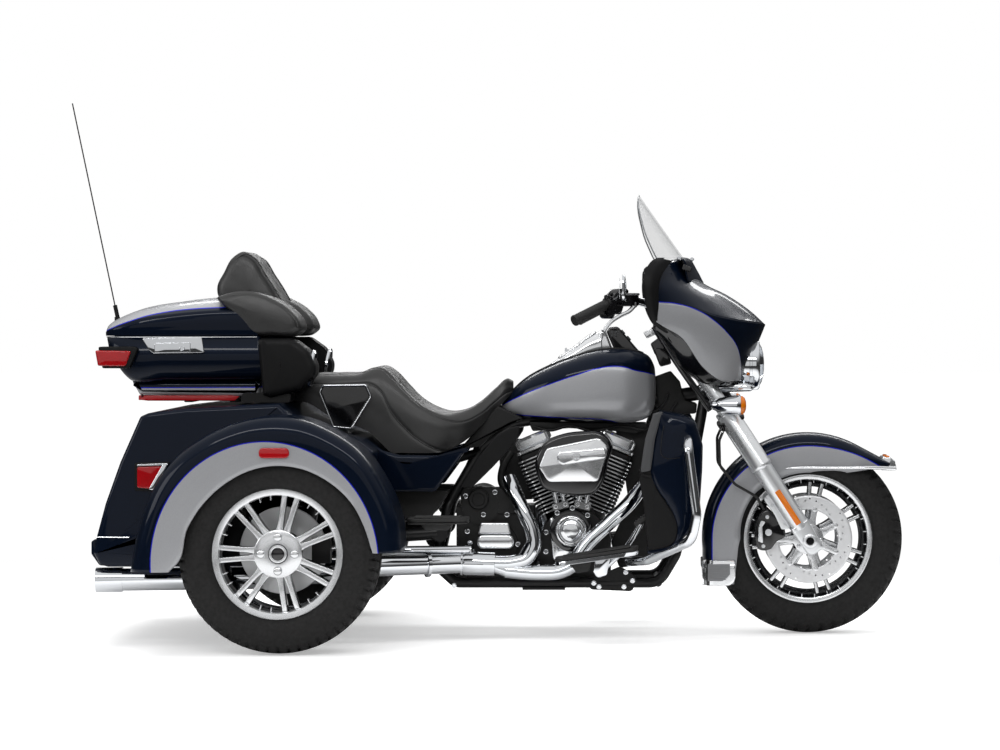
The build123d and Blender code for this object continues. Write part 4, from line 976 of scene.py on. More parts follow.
backMiddle = throughPoints([(-846, 1122), (-849, 1150), (-826, 1200), (-798, 1248), (-764, 1268), (-728, 1252),
                            (-690, 1196), (-652, 1136), (-626, 1078), (-640, 1024), (-690, 1010), (-697, 1110),
                            (-760, 1116)], 150, closed=True)
backWing = throughPoints([(-834, 1116), (-815, 1124), (-759, 1136), (-703, 1131), (-653, 1112), (-598, 1078),
                          (-567, 1041),
                          (-560, 1013), (-579, 994), (-653, 990), (-712, 993), (-753, 1029), (-790, 1069),
                          (-821, 1094)],
                         150, closed=True)


def backrestMiddle():
    # the tall lobe leans back; its front face is hollowed a little between its two rounded edges
    return cushion(backMiddle, -132, 132, 6, 34, tilt=-16)


padded("backrest_middle", backrestMiddle(), "box_lid", "backrest")
for way, name in ((-1, "right"), (1, "left")):
    wing = cushion(backWing, way * 92, way * 291, 7, 30)
    padded("backrest_wing_" + name, wing, "box_lid", "backrest")


def pipingRound(outline, y, edge, radius=2.0, keep=(0, 1)):
    # the piped seam that follows part of a pad's outline where its face begins
    o = inset(resampled(outline, 160), edge)
    first, last = int(keep[0] * 160), int(keep[1] * 160)
    o = o[first:last]
    return tube(np.stack([o[:, 0], np.full(len(o), y), o[:, 1]], 1), radius, 8)


piping = joined(pipingRound(backMiddle, -123, 8, 2.2, (0.02, 0.55)),
                pipingRound(backMiddle, 123, 8, 2.2, (0.02, 0.55)),
                pair(pipingRound(backWing, -284, 11, 2.2, (0.08, 0.5))))
addPiece("backrest_piping", piping, "box_lid", seatVinyl)


def speakerPod():
    outline = filleted([(-702, 984, 6), (-590, 984, 34), (-536, 946, 46), (-511, 894, 40), (-514, 862, 40),
                        (-564, 814, 36), (-661, 790, 12), (-684, 800, 8)], 8)
    return plate(outline, -190, -298, 20, dome=1.6, count=180)


def podGrille():
    # the speaker faces forward and in; a ring stands round a shallow perforated dome
    ring = lathe([(0, 62), (7, 62), (10, 59), (10, 55), (0, 54)], (0, 0, 0), (1, 0, 0), 56, ring=True)
    dome = lathe([(0, 54), (3, 50), (6, 36), (7.5, 18), (8, 0.6)], (0, 0, 0), (1, 0, 0), 56)
    ring, dome = [turned(s, (0, 1, 0), 8) for s in (ring, dome)]
    return moved(ring, (-534, -232, 884)), moved(dome, (-534, -232, 884))


addPiece("speaker_pod_shells", pair(speakerPod()), "chassis", grainedPlastic, replaces="speaker_pods",
         sharp=60)
grilleRing, grilleDome = podGrille()
meshBlack = finish("perforated speaker grille", "0b0b0c", "161617", 6, (0.4, 0.6), 8, bump=("Voronoi", 3.2, 0.5))
addPiece("speaker_rings", pair(grilleRing), "chassis", chrome, replaces="speaker_pods")
addPiece("speaker_grilles", pair(grilleDome), "chassis", meshBlack, replaces="speaker_pods")
print("backrest and pods done")
# seat

# x, half width, top z in the middle, z where the side turns down, z of the lower edge, how far the
# middle is dished below the edges
seatStations = [(-612, 150, 846, 826, 775, 0), (-560, 164, 862, 842, 772, 0), (-460, 170, 866, 848, 716, 0),
                (-378, 174, 872, 852, 688, 2), (-346, 178, 886, 856, 672, 6), (-312, 180, 890, 852, 640, 10),
                (-282, 182, 872, 838, 612, 14), (-240, 184, 826, 806, 608, 18), (-200, 184, 784, 772, 607, 18),
                (-150, 180, 753, 742, 607, 16), (-100, 170, 738, 724, 612, 12), (-45, 146, 745, 722, 640, 6),
                (10, 104, 774, 748, 690, 2), (60, 66, 818, 792, 745, 0), (96, 46, 846, 824, 782, 0),
                (114, 30, 838, 822, 800, 0)]


def seatRow(x, half, top, turn, low, dish, wide=(0.0, 0.30, 0.56, 0.78, 0.93, 1.0, 1.0, 0.985)):
    # from the middle outwards: dished middle, raised edge, side turning down to the lower edge
    rise = [top - dish, top - dish * 0.8, top - dish * 0.25, top - 0.25 * (top - turn), turn,
            turn - 0.22 * (turn - low), turn - 0.62 * (turn - low), low]
    half_ = [(x, half * w, z) for w, z in zip(wide, rise)]
    return half_[::-1] + [(x, -y, z) for _, y, z in half_[1:]]


def seatSurface(across=141, along=170):
    rows = np.array([seatRow(*station) for station in seatStations])
    fine = np.stack([throughPoints(row, across, byPoint=True) for row in rows])
    return throughPoints(fine.reshape(len(rows), -1), along, byPoint=True).reshape(along, across, 3)


seatGrid = seatSurface()


def crease(grid, lines, depth, width):
    # sinks the surface along seams: each seam gives a place across (0..1) for every place along, and
    # the dent is depth * exp(-(distance / width) squared)
    share = np.linspace(0, 1, grid.shape[1])
    normal = np.cross(np.gradient(grid, axis=0), np.gradient(grid, axis=1))
    normal /= np.linalg.norm(normal, axis=2, keepdims=True) + 1e-9
    normal *= np.sign(normal[len(grid) // 2, grid.shape[1] // 2, 2])
    dent = np.zeros(grid.shape[:2])
    for line in lines:
        for way in (line, 1 - line):
            dent = np.maximum(dent, np.exp(-((share[None] - way[:, None]) / width) ** 2))
    return grid - depth * dent[..., None] * normal


def seamAcross(grid, points):
    # a seam's place across the surface for every row, from (row share, place across) pairs
    rows = np.linspace(0, 1, len(grid))
    p = throughPoints([(a, b, 0) for a, b in points], 200)
    return np.interp(rows, p[:, 0], p[:, 1])


seatSeams = [seamAcross(seatGrid, [(0.0, 0.30), (0.3, 0.30), (0.38, 0.27), (0.5, 0.235), (0.62, 0.20), (0.8, 0.13),
                                   (1, 0.05)]),
             seamAcross(seatGrid, [(0.0, 0.16), (0.30, 0.16), (0.42, 0.10), (0.55, 0.05), (0.66, 0.0), (1, -0.1)])]
seatShape = crease(seatGrid, seatSeams, 3.2, 0.007)
seatPoints, seatFaces = gridShape(seatShape)
low = seatShape.copy()
low[..., 2] = np.minimum(low[..., 2], seatShape[:, :1, 2] + 12)
low[..., 2] = seatShape[:, :1, 2]
seatBottom = gridShape(low)
seatEnds = gridShape(np.stack([seatShape[0], low[0]])), gridShape(np.stack([seatShape[-1], low[-1]]))
seatPiece = addPiece("seat_cushion", joined((seatPoints, seatFaces), seatBottom, *seatEnds), "chassis", seatVinyl,
                     replaces="seat", sharp=70)


def seamPiping(grid, line, radius, rows=(0, 1)):
    # a cord that lies on the surface along a seam
    first, last = [int(r * (len(grid) - 1)) for r in rows]
    at = np.clip(line, 0.004, 0.996) * (grid.shape[1] - 1)
    left = np.floor(at).astype(int)
    share = (at - left)[:, None]
    row = np.arange(len(grid))
    path = grid[row, left] * (1 - share) + grid[row, np.minimum(left + 1, grid.shape[1] - 1)] * share
    return tube(path[first:last + 1], radius, 8)


addPiece("seat_piping", pair(joined(seamPiping(seatShape, seatSeams[0], 1.8, (0.26, 0.86)),
                                    seamPiping(seatShape, seatSeams[1], 1.8, (0.26, 0.64)))), "chassis", seatVinyl)
handRail = filleted([(-511, 806, 8), (-503, 827, 6), (-360, 829, 8), (-344, 792, 6), (-408, 688, 4),
                     (-466, 694, 4)], 5)
railPath = resampled(handRail, 160)
railWidth = np.where(railPath[:, 1] > railPath[:, 1].max() - 6, 4.0, 2.0)
railTube = tube(np.stack([railPath[:, 0], np.full(160, -187), railPath[:, 1]], 1), railWidth, 12, closed=True)
addPiece("passenger_rails", pair(railTube), "chassis", chrome)
railPanel = plate(inset(railPath, 3), -150, -186, 3, count=160)
addPiece("passenger_rail_panels", pair(railPanel), "chassis", glossBlack)
print("seat done")

# panels under the seat

sidePanel = filleted([(-420, 664, 10), (-357, 656, 16), (-300, 616, 24), (-250, 602, 20), (-111, 600, 20),
                      (-16, 626, 3), (-32, 616, 4), (-129, 484, 10), (-326, 484, 16), (-330, 560, 20),
                      (-420, 630, 20)], 6)
addPiece("side_panel_skins", pair(plate(sidePanel, -200, -249, 9, dome=0.8, count=220)), "chassis", navyPaint,
         replaces="side_panels", sharp=50)


def deflector():
    outline = filleted([(146, 698, 10), (110, 690, 30), (72, 670, 20), (3, 588, 20), (-51, 498, 5), (-15, 492, 6),
                        (56, 562, 26), (112, 622, 20), (140, 664, 14)], 6)
    return plate(outline, -197, -205, 4, dome=0.6, count=160)


addPiece("heat_deflector_blades", pair(deflector()), "chassis", grainedPlastic, replaces="heat_deflectors",
         sharp=60)
print("side panels done")
# tank and console

tankSizes = {
    # x, half width, low z, high z, squareness of the section
    "stations": [(76, 22, 735, 764, 2.2), (112, 52, 722, 806, 2.4), (160, 84, 714, 849, 2.7),
                 (230, 116, 709, 887, 3.0), (300, 137, 705, 915, 3.3), (420, 158, 701, 945, 3.3),
                 (510, 151, 701, 943, 3.0), (562, 122, 716, 925, 2.8), (582, 84, 744, 896, 2.5),
                 (590, 34, 796, 850, 2.2)],
    "upperLine": [(60, 748), (149, 794), (241, 831), (333, 863), (403, 884), (449, 890), (486, 887), (518, 877),
                  (560, 868), (600, 856)],
    "lowerLine": [(60, 738), (126, 728), (241, 721), (403, 715), (435, 710), (472, 697), (500, 682), (600, 672)],
}
consoleSizes = {
    "top": [(112, 800), (121, 817), (200, 871), (301, 936), (330, 957), (355, 978), (380, 994), (409, 1007)],
    "width": [(112, 14), (160, 28), (230, 40), (300, 47), (409, 50)],
    "doorRim": 6.6,
}
tankPath = throughPoints(tankSizes["stations"], 200)


def tankTop(x, y):
    # height of the tank's skin over a plan point, from its rounded box sections
    half, low, high, power = (np.interp(x, tankPath[:, 0], tankPath[:, k]) for k in (1, 2, 3, 4))
    share = np.clip(1 - (np.abs(y) / half) ** power, 0, 1) ** (1 / power)
    return (low + high) / 2 + (high - low) / 2 * share


def consoleTop(x, y):
    # the console's crown: a half superellipse over its base line on the tank
    tops, widths = np.array(consoleSizes["top"]), np.array(consoleSizes["width"])
    top, half = np.interp(x, *tops.T), np.interp(x, *widths.T)
    base = tankTop(x, half) - 3
    return base + (top - base) * np.clip(1 - (np.abs(y) / half) ** 3.2, 0, 1) ** (1 / 3.2)


def consoleShell():
    x = np.linspace(112, 411, 70)
    half = np.interp(x, *np.array(consoleSizes["width"]).T)
    angle = np.linspace(0, math.pi, 33)
    across = np.sign(np.cos(angle)) * np.abs(np.cos(angle)) ** 0.625
    y = half[:, None] * across[None]
    x = np.broadcast_to(x[:, None], y.shape)
    return gridShape(np.stack([x, y, consoleTop(x, y)], -1))


def fuelDoorLid():
    # the lid lies on the console's crown: a rounded rim, then a face that follows the crown
    rim = resampled(filleted([(264, -31, 16), (391, -31, 16), (391, 31, 16), (264, 31, 16)], 6), 96)
    middle = rim.mean(0)
    rise = consoleSizes["doorRim"]
    rings = [(1.0, 0.9), (1.0, rise - 2.5), (0.985, rise - 0.9), (0.955, rise), (0.8, rise), (0.55, rise),
             (0.2, rise)]
    grid = np.stack([np.column_stack([middle + (rim - middle) * share, np.full(len(rim), lift)])
                     for share, lift in rings])
    grid[..., 2] += consoleTop(grid[..., 0], grid[..., 1])
    return gridShape(grid, closeV=True, capU=True)


def consoleTrim():
    # the black strip between console and tank
    x = np.linspace(114, 548, 80)
    half = np.interp(x, *np.array(consoleSizes["width"]).T) + 2
    return pair(tube(np.stack([x, -half, tankTop(x, half) + 1], 1), 3.4, 10))


ventPlastic = finish("grained grey plastic", "3a3b3d", "404143", 50, (0.4, 0.52), 18, bump=("Voronoi", 1.3, 0.04))


def switchPanel():
    face = filleted([(453, 938, 3), (425, 1003, 5), (436, 1018, 8), (464, 1020, 14), (551, 919, 6), (551, 900, 4)],
                    6)
    panel = pair(plate(face, 0, -46, 6, count=140))
    neck = pair(plate(filleted([(396, 935, 2), (400, 1000, 8), (421, 1009, 6), (449, 938, 3)], 6), 0, -46, 6,
                      count=100))
    # louvres on the sides and rockers on the face
    louvres = [block(x, x + 8, -43, -48, z, z + 7, 1) for x in (441, 452) for z in (986, 997)]
    rockers = [pair(joined(*louvres))]
    for row, step in enumerate((16, 44)):
        for y in (-28, 0, 28):
            rocker = turned(block(0, 18, y - 11, y + 11, -2, 4 + row, 1.5), (0, 1, 0), 49.3)
            rockers.append(moved(rocker, (464 + step * 0.652, 0, 1020 - step * 0.758)))
    return panel, neck, joined(*rockers)


def betweenCurves(upper, lower):
    # the field lies under one line and over the other
    def field(tree, place):
        below, above = underCurve(upper)(tree, place), underCurve(lower)(tree, place)
        turnedRound = addNode(tree, "Math", {1: -1.0}, {0: above}, operation="MULTIPLY")
        return addNode(tree, "Math", links={0: below, 1: turnedRound.outputs[0]}, operation="MINIMUM").outputs[0]
    return field


tankPaint = lacquer("tank basecoat, two tones with pinstripes", paint["navy"],
                    betweenCurves(tankSizes["upperLine"], tankSizes["lowerLine"]))
addPiece("tank_shell", loft(tankSizes["stations"], 120, 96), "chassis", tankPaint, replaces="fuel_tank",
         sharp=60)
addPiece("console_shell", consoleShell(), "chassis", chromeWithPaintedReflection, thickness=3, replaces="tank_console",
         sharp=60)
addPiece("console_trim", consoleTrim(), "chassis", gripRubber, sharp=60)
panelShape, neckShape, rockerShapes = switchPanel()
addPiece("switch_panel", panelShape, "chassis", glossBlack, sharp=40)
addPiece("console_neck", neckShape, "chassis", chromeWithPaintedReflection, sharp=40)
addPiece("panel_rockers", rockerShapes, "chassis", ventPlastic, sharp=40)
addPiece("fuel_door_lid", fuelDoorLid(), "filler_lid", chromeWithPaintedReflection, replaces="fuel_door",
         sharp=40)
doorLatch = joined(block(286, 300, -7, 7, 936, 944, 2), rod((290, -9, 946), (290, 9, 946), 3, 12))
addPiece("fuel_door_latch", doorLatch, "filler_lid", chrome)
print("tank ready")

# engine

engineSizes = {
    "crank": (322, 0, 300), "lean": 22.5, "firstFin": 132, "finStep": 12.4, "fins": 16, "finThick": 4.2,
    "barrel": 58, "edgeBand": 2.0,
}


def levelPlate(halfX, halfY, corner, z0, z1, edge=0.8, steps=6):
    # a rounded rectangle square to z with its rim softened
    outline = filleted([(-halfX, -halfY, corner), (halfX, -halfY, corner), (halfX, halfY, corner),
                        (-halfX, halfY, corner)], steps)
    rings = [(inset(outline, edge), z0), (outline, z0 + edge), (outline, z1 - edge), (inset(outline, edge), z1)]
    grid = np.stack([np.column_stack([ring, np.full(len(ring), z)]) for ring, z in rings])
    return gridShape(grid, closeV=True, capU=True)


def finSize(number):
    # barrel fins first, then the head's wider and squarer ones
    return (75, 79, 34) if number < 10 else (73, 82, 22)


def leaned(shape, way):
    return moved(turned(shape, (0, 1, 0), way * engineSizes["lean"]), engineSizes["crank"])


def cylinderFins():
    first, step, thick = engineSizes["firstFin"], engineSizes["finStep"], engineSizes["finThick"]
    fins = [levelPlate(*finSize(i), first + i * step - thick / 2, first + i * step + thick / 2)
            for i in range(engineSizes["fins"])]
    core = lathe([(96, 50), (100, engineSizes["barrel"]), (326, engineSizes["barrel"]), (330, 50)], (0, 0, 0),
                 (0, 0, 1), 48)
    head = levelPlate(62, 72, 14, 246, 338, 4)
    return joined(core, head, *fins)


def finEdges():
    # the machined rims of the fins, bright along each outward side and round the corners: ribbons
    # just outside the black
    ribbons = []
    for i in range(engineSizes["fins"]):
        halfX, halfY, corner = finSize(i)
        z = engineSizes["firstFin"] + i * engineSizes["finStep"]
        rim = filleted([(-halfX, -halfY, corner), (halfX, -halfY, corner), (halfX, halfY, corner),
                        (-halfX, halfY, corner)], 6)
        rim = resampled(inset(rim, -0.8), 72)
        rows = [np.column_stack([rim, np.full(len(rim), z + side * engineSizes["edgeBand"])]) for side in (-1, 1)]
        ribbons.append(gridShape(np.stack(rows), closeV=True))
    return joined(*ribbons)


def rockerCover():
    foot = levelPlate(65, 74, 16, 340, 351, 1.5)
    top = levelPlate(60, 69, 20, 352, 387, 7, 8)
    bolts = [lathe([(0, 7), (4, 7), (5, 5.8), (5, 3.2), (2.5, 2.9)], (x, y, 384), (0, 0, 1), 20)
             for x in (-44, 44) for y in (-53, 53)]
    return joined(foot, top, *bolts)


def bolt(x, y, z, radius=8.0, height=5.0):
    # a round head with a round socket, facing the rider's right when y is below zero
    way = -1 if y < 0 else 1
    profile = [(0, radius * 1.25), (1.2, radius * 1.25), (1.4, radius), (height - 1, radius),
               (height, radius - 1), (height, radius * 0.45), (height * 0.5, radius * 0.42)]
    return lathe([(way * a, r) for a, r in profile], (x, y, z), (0, 1, 0), 22)


for way, side in ((-1, "rear"), (1, "front")):
    addPiece(side + "_cylinder_fins", leaned(cylinderFins(), way), "chassis", wrinkleBlack,
             replaces=side + "_cylinder", sharp=35)
    addPiece(side + "_fin_edges", leaned(finEdges(), way), "chassis", chromeWithPaintedReflection, sharp=60)
rockerShape = joined(leaned(rockerCover(), -1), leaned(rockerCover(), 1))
addPiece("rocker_cover_castings", rockerShape, "chassis", chromeWithPaintedReflection, replaces="rocker_covers",
         sharp=35)

airCleanerSizes = {
    "body": [(193, 573), (202, 604), (227, 642), (283, 667), (346, 676), (402, 676), (433, 654), (446, 629),
             (433, 579), (415, 510), (383, 473), (352, 467), (283, 473), (215, 498), (199, 536)],
    "insert": [(206, 561, 14), (231, 623, 20), (402, 658, 24), (434, 626, 24), (399, 514, 16), (236, 513, 26)],
    "band": [(266, 580, 22), (266, 612, 22), (422, 626, 10), (428, 606, 8), (424, 590, 10), (284, 568, 22)],
}
bodyOutline = throughPoints(airCleanerSizes["body"], 160, closed=True)
airBody = joined(plate(bodyOutline, -118, -197, 12, count=160),
                 lathe([(0, 42), (34, 42)], (322, -84, 560), (0, -1, 0), 48))
insertOutline = filleted(airCleanerSizes["insert"], 10)
airInsert = joined(plate(insertOutline, -190, -203, 4, 5, count=180),
                   plate(filleted(airCleanerSizes["band"], 10), -198, -211, 5, 1.5, count=120))
airCap = lathe([(0, 14), (3, 14), (4.2, 13), (4.2, 10.5), (2.6, 9.8), (2.6, 6), (3.4, 5), (3.4, 0.4)],
               (328, -211, 596), (0, -1, 0), 40)
addPiece("air_cleaner_body", airBody, "chassis", glossBlack, replaces="air_cleaner")
addPiece("air_cleaner_cover", airInsert, "chassis", chromeWithPaintedReflection, sharp=50)
addPiece("air_cleaner_cap", airCap, "chassis", polishedAlloy)

coverSizes = {"cam": (310, 348), "camRing": 51}


def camCover():
    x, z = coverSizes["cam"]
    ring = coverSizes["camRing"]
    # chrome ring, a ledge, and the round inspection cover in its middle
    profile = [(0, ring + 2), (8, ring + 1), (12, ring - 2), (13, ring - 6), (12, 40), (9, 38), (9, 34), (11, 33),
               (12, 30), (14, 27), (14.6, 20), (15.5, 10), (15.8, 0.5)]
    return lathe(profile, (x, -124, z), (0, -1, 0), 72)


def camSlots():
    # four dark arcs let into the ring
    x, z = coverSizes["cam"]
    slots = []
    for start in (35, 125, 215, 305):
        angle = np.radians(np.linspace(start - 24, start + 24, 14))
        path = np.stack([x + 42.5 * np.cos(angle), np.full(14, -136.6), z + 42.5 * np.sin(angle)], 1)
        slots.append(tube(path, 2.2, 8, up=(0, 1, 0)))
    return joined(*slots)


camHousing = lathe([(0, 70), (24, 70), (30, 67), (32, 60), (32, 52)],
                   (coverSizes["cam"][0], -95, coverSizes["cam"][1]), (0, -1, 0), 72)
camSkirt = plate(filleted([(238, 388, 8), (252, 392, 8), (256, 330, 30), (300, 290, 30), (352, 296, 40),
                           (384, 332, 10),
                           (384, 306, 16), (352, 266, 14), (250, 248, 10)], 6), -95, -118, 5, count=150)
gearBar = plate(filleted([(0, 288, 22), (122, 288, 22), (122, 334, 22), (0, 334, 22)], 10), -104, -129, 6,
                count=120)
gearTop = plate(filleted([(2, 336, 3), (112, 336, 3), (104, 374, 6), (12, 374, 6)], 5), -104, -124, 5, count=100)
tappets = []
for way in (-1, 1):
    tappet = joined(block(-27, 27, -118, -100, -11, 11, 3), *[bolt(a, -117, 0, 5, 4) for a in (-16, 16)])
    tappets.append(moved(turned(tappet, (0, 1, 0), way * 14), (311 + way * 36, 0, 430)))
    for spread in (-13, 13):
        foot = (311 + way * 36 + spread, -106, 438)
        tappets.append(rod(foot, (311 + way * 62 + spread, -100, 560), 8.5, 20))
addPiece("bright_engine_covers", joined(camCover(), camSkirt, gearBar, gearTop, *tappets), "chassis", chromeWithPaintedReflection,
         replaces="engine_covers", sharp=40)
addPiece("cam_housing", camHousing, "chassis", glossBlack, sharp=40)
addPiece("cam_cover_slots", camSlots(), "chassis", glossBlack)

# screws that hold the covers, brackets and case halves on the right: x, depth, z
caseBolts = [(314, -124, 423), (364, -124, 399), (264, -124, 407), (-39, -104, 461), (58, -104, 474),
             (20, -106, 400),
             (98, -106, 400), (-33, -106, 345), (-24, -108, 306), (134, -108, 302), (226, -98, 341),
             (226, -98, 277),
             (-74, -150, 170), (385, -150, 178), (402, -150, 166), (490, -150, 214), (512, -150, 186),
             (484, -150, 166)]
addPiece("case_bolts", joined(*[bolt(x, y, z, 6.5) for x, y, z in caseBolts]), "chassis", chrome)
# the starter's end cap and the swing arm pivot's cover: turned bosses on the right
starter = lathe([(0, 34), (26, 34), (30, 30), (30, 22), (27, 20), (27, 0.5)], (4, -84, 450), (0, -1, 0), 48)
pivot = lathe([(0, 33), (20, 33), (24, 29), (24, 20), (20, 17), (20, 0.5)], (-136, -104, 324), (0, -1, 0), 48)
casePlate = plate(filleted([(-60, 490, 30), (80, 490, 30), (120, 440, 20), (130, 400, 10), (-50, 400, 20)], 6), -70,
                  -98, 6, count=120)
lowBracket = plate(filleted([(372, 156, 14), (512, 150, 16), (528, 200, 20), (470, 232, 20), (400, 200, 20),
                             (366, 186, 12)], 6), -128, -146, 4, count=120)
# what fills the space under the tank and the seat's nose: throttle body, wiring and the frame's covers
underTank = plate(filleted([(166, 704, 6), (560, 700, 10), (566, 680, 10), (520, 664, 10), (420, 676, 8),
                            (300, 682, 8), (180, 672, 8)], 5), 46, -46, 4, count=160)
underSeat = pair(plate(filleted([(66, 758, 6), (156, 714, 6), (112, 700, 8), (58, 668, 10), (6, 622, 8),
                                 (-62, 612, 6), (-30, 650, 20)], 5), 0, -84, 6, count=140))
behindCases = pair(plate(filleted([(-268, 486, 6), (-84, 484, 8), (-120, 430, 8), (-150, 394, 8), (-268, 394, 8)],
                                  5), -90,
                         -176, 6, count=120))
neckParts = plate(filleted([(584, 852, 10), (640, 872, 8), (670, 838, 8), (680, 800, 8), (690, 776, 4),
                            (728, 764, 8), (724, 730, 8), (600, 724, 8)], 5), 28, -28, 6, count=140)
# dark plates in the middle, behind the cylinders: painted shade, standing in for the shadow seen between and behind
# them
shadeFillPlates = [
    plate(filleted([(452, 690, 10), (572, 694, 10), (590, 500, 12), (602, 236, 10), (468, 214, 10), (440, 300, 10),
                    (500, 430, 12), (474, 600, 12)], 5), 10, -10, 3, count=120),
    plate(filleted([(64, 640, 8), (196, 650, 8), (244, 560, 8), (206, 446, 8), (120, 440, 8), (72, 520, 8)], 5), 10,
          -10, 3, count=100)]
breather = tube(throughPoints([(112, -66, 606), (86, -74, 560), (78, -76, 512), (104, -72, 458)], 40), 13, 16)
looms = [tube(throughPoints(route, 40), 5, 10) for route in (
    [(180, -40, 690), (240, -58, 676), (300, -54, 690), (380, -60, 674), (470, -52, 690), (552, -50, 676)],
    [(560, -28, 730), (596, -31, 744), (620, -31, 770), (632, -30, 800)],
    [(560, -26, 700), (606, -31, 714), (640, -31, 740), (660, -30, 768)])]
addPiece("under_tank_parts_and_shade_plates", joined(underTank, underSeat, behindCases, neckParts, breather, *looms, *shadeFillPlates),
         "chassis", wrinkleBlack, sharp=45)
addPiece("case_bosses", joined(starter, pivot, casePlate, lowBracket), "chassis", wrinkleBlack)
# left side: screws round the chain case, a turned ring on each of its two covers
leftScrews = [bolt(x, 171, z, 5, 3) for x, z in ((55, 222), (150, 219), (250, 219), (322, 224), (386, 262),
                                                 (388, 342),
                                                 (330, 390), (220, 391), (110, 391), (20, 380), (-8, 300))]
leftRings = [lathe([(0, r), (4, r - 1), (6, r - 5), (5, r - 9), (5, r - 14), (8, r - 18), (9.5, 12), (9.8, 0.5)],
                   (x, y, z), (0, 1, 0), 64) for x, y, z, r in ((322, 179, 300, 60), (30, 177, 305, 44))]
addPiece("chain_case_trim", joined(*leftScrews, *leftRings), "chassis", chrome)
print("engine ready")

# exhaust

exhaustSizes = {
    "rear": [(104, -108, 520), (126, -138, 470), (152, -160, 418), (184, -170, 345), (188, -173, 300),
             (166, -176, 262), (120, -177, 248), (48, -178, 246)],
    "front": [(540, -104, 488), (500, -148, 438), (430, -157, 372), (352, -162, 294), (318, -172, 240),
              (280, -176, 220), (200, -177, 214), (96, -178, 222)],
    "radius": 24.5,
}
for side in ("rear", "front"):
    shield = tube(throughPoints(exhaustSizes[side], 90), exhaustSizes["radius"], 28)
    addPiece(side + "_header_shield", shield, "chassis", chrome, sharp=50)
collector = lathe([(0, 24), (6, 30), (40, 38.6), (96, 39.4), (104, 37), (106, 40), (112, 40)], (62, -178, 243),
                  (-106, -4, 3), 48)
clampBand = lathe([(0, 39), (0.5, 41), (11, 41), (12, 39)], (-150, -226, 246), (-300, -113, 0), 48)
addPiece("collector_shield", joined(collector, clampBand), "chassis", chrome, sharp=50)
print("exhaust ready")

# footboards and pedals

boardSizes = {
    "rider": {"pad": (262, 276, 530, 314), "yIn": 262, "yOut": 372},
    "passenger": {"pad": (-208, 412, -12, 414), "yIn": 330, "yOut": 436},
    "ribs": 9,
}


def footPad(size, rise, thick):
    # a rounded slab along a sloping line, lifted by rise; its plan is a rounded rectangle
    x0, z0, x1, z1 = size["pad"]
    plan = resampled(filleted([(x0, -size["yOut"], 34), (x1, -size["yOut"], 40), (x1, -size["yIn"], 18),
                               (x0, -size["yIn"], 18)], 8), 120)
    rings = [(inset(plan, 2), 0), (plan, 2), (plan, thick - 2), (inset(plan, 2), thick), (inset(plan, 8), thick)]
    grid = np.stack([np.column_stack([ring, np.full(len(ring), level + rise)]) for ring, level in rings])
    grid[..., 2] += z0 + (grid[..., 0] - x0) * (z1 - z0) / (x1 - x0)
    return gridShape(grid, closeV=True, capU=True)


def padRibs(size, rise):
    # raised ribs along the pad
    x0, z0, x1, z1 = size["pad"]
    ribs = []
    for y in np.linspace(size["yIn"] + 12, size["yOut"] - 14, boardSizes["ribs"]):
        ribs.append(tube(np.linspace((x0 + 24, -y, z0 + rise + 3), (x1 - 26, -y, z1 + rise - 3 * (z1 < z0)), 12),
                         2.4, 8, up=(0, 1, 0)))
    return joined(*ribs)


rider, passenger = boardSizes["rider"], boardSizes["passenger"]
boardMetal = joined(footPad(rider, -25, 15),
                    plate(filleted([(392, 270, 6), (440, 276, 6), (428, 214, 10), (398, 206, 10), (384, 226, 8)],
                                   5), -250,
                          -258, 2, count=80))
boardRubber = joined(footPad(rider, -9, 9), padRibs(rider, 0), footPad(passenger, -14, 12), padRibs(passenger, -2),
                     footPad(passenger, -21, 6),
                     plate(filleted([(300, 268, 6), (380, 279, 6), (372, 228, 8), (330, 220, 8)], 5), -226, -262, 3,
                           count=80),
                     plate(filleted([(-170, 400, 5), (-60, 400, 5), (-75, 372, 10), (-150, 372, 10)], 5), -345,
                           -420, 6, count=80))
pedalArm = tube(throughPoints([(404, -236, 222), (440, -240, 252), (488, -246, 300), (522, -262, 352),
                               (540, -278, 384)], 40),
                8.5, 14)
pedalHub = lathe([(0, 17), (16, 17), (20, 15), (20, 10), (17, 8), (17, 0.5)], (404, -226, 222), (0, -1, 0), 36)
pedalPad = turned(block(-26, 26, -326, -262, -6, 7, 4), (0, 1, 0), -38, (0, 0, 0))
pedalPad = moved(pedalPad, (540, 0, 396))
padLines = [moved(turned(rod((a, -320, 8), (a, -268, 8), 1.8, 8), (0, 1, 0), -38), (540, 0, 396))
            for a in (-16, -6, 4, 14)]
addPiece("footboard_pads", pair(boardRubber), "chassis", gripRubber, replaces="footboards",
         sharp=45)
addPiece("footboard_frames", pair(boardMetal), "chassis", chrome, sharp=45)
addPiece("pedal_arms", pair(joined(pedalArm, pedalHub)), "chassis", chrome)
addPiece("pedal_pads", pair(joined(pedalPad, *padLines)), "chassis", gripRubber)
print("footboards ready")

# leg fairings

legSizes = {
    "front": [(600, 750, 0), (670, 738, 18), (712, 722, 26), (738, 640, 40), (736, 560, 60), (728, 440, 60),
              (712, 376, 40), (654, 318, 40), (560, 298, 0)],
    "rear": [(600, 749), (590, 684), (572, 601), (571, 548), (596, 492), (619, 460), (646, 412), (655, 377),
             (648, 336), (609, 303), (560, 297)],
    "yIn": 192, "yOut": 371, "round": 34, "wall": 4,
}


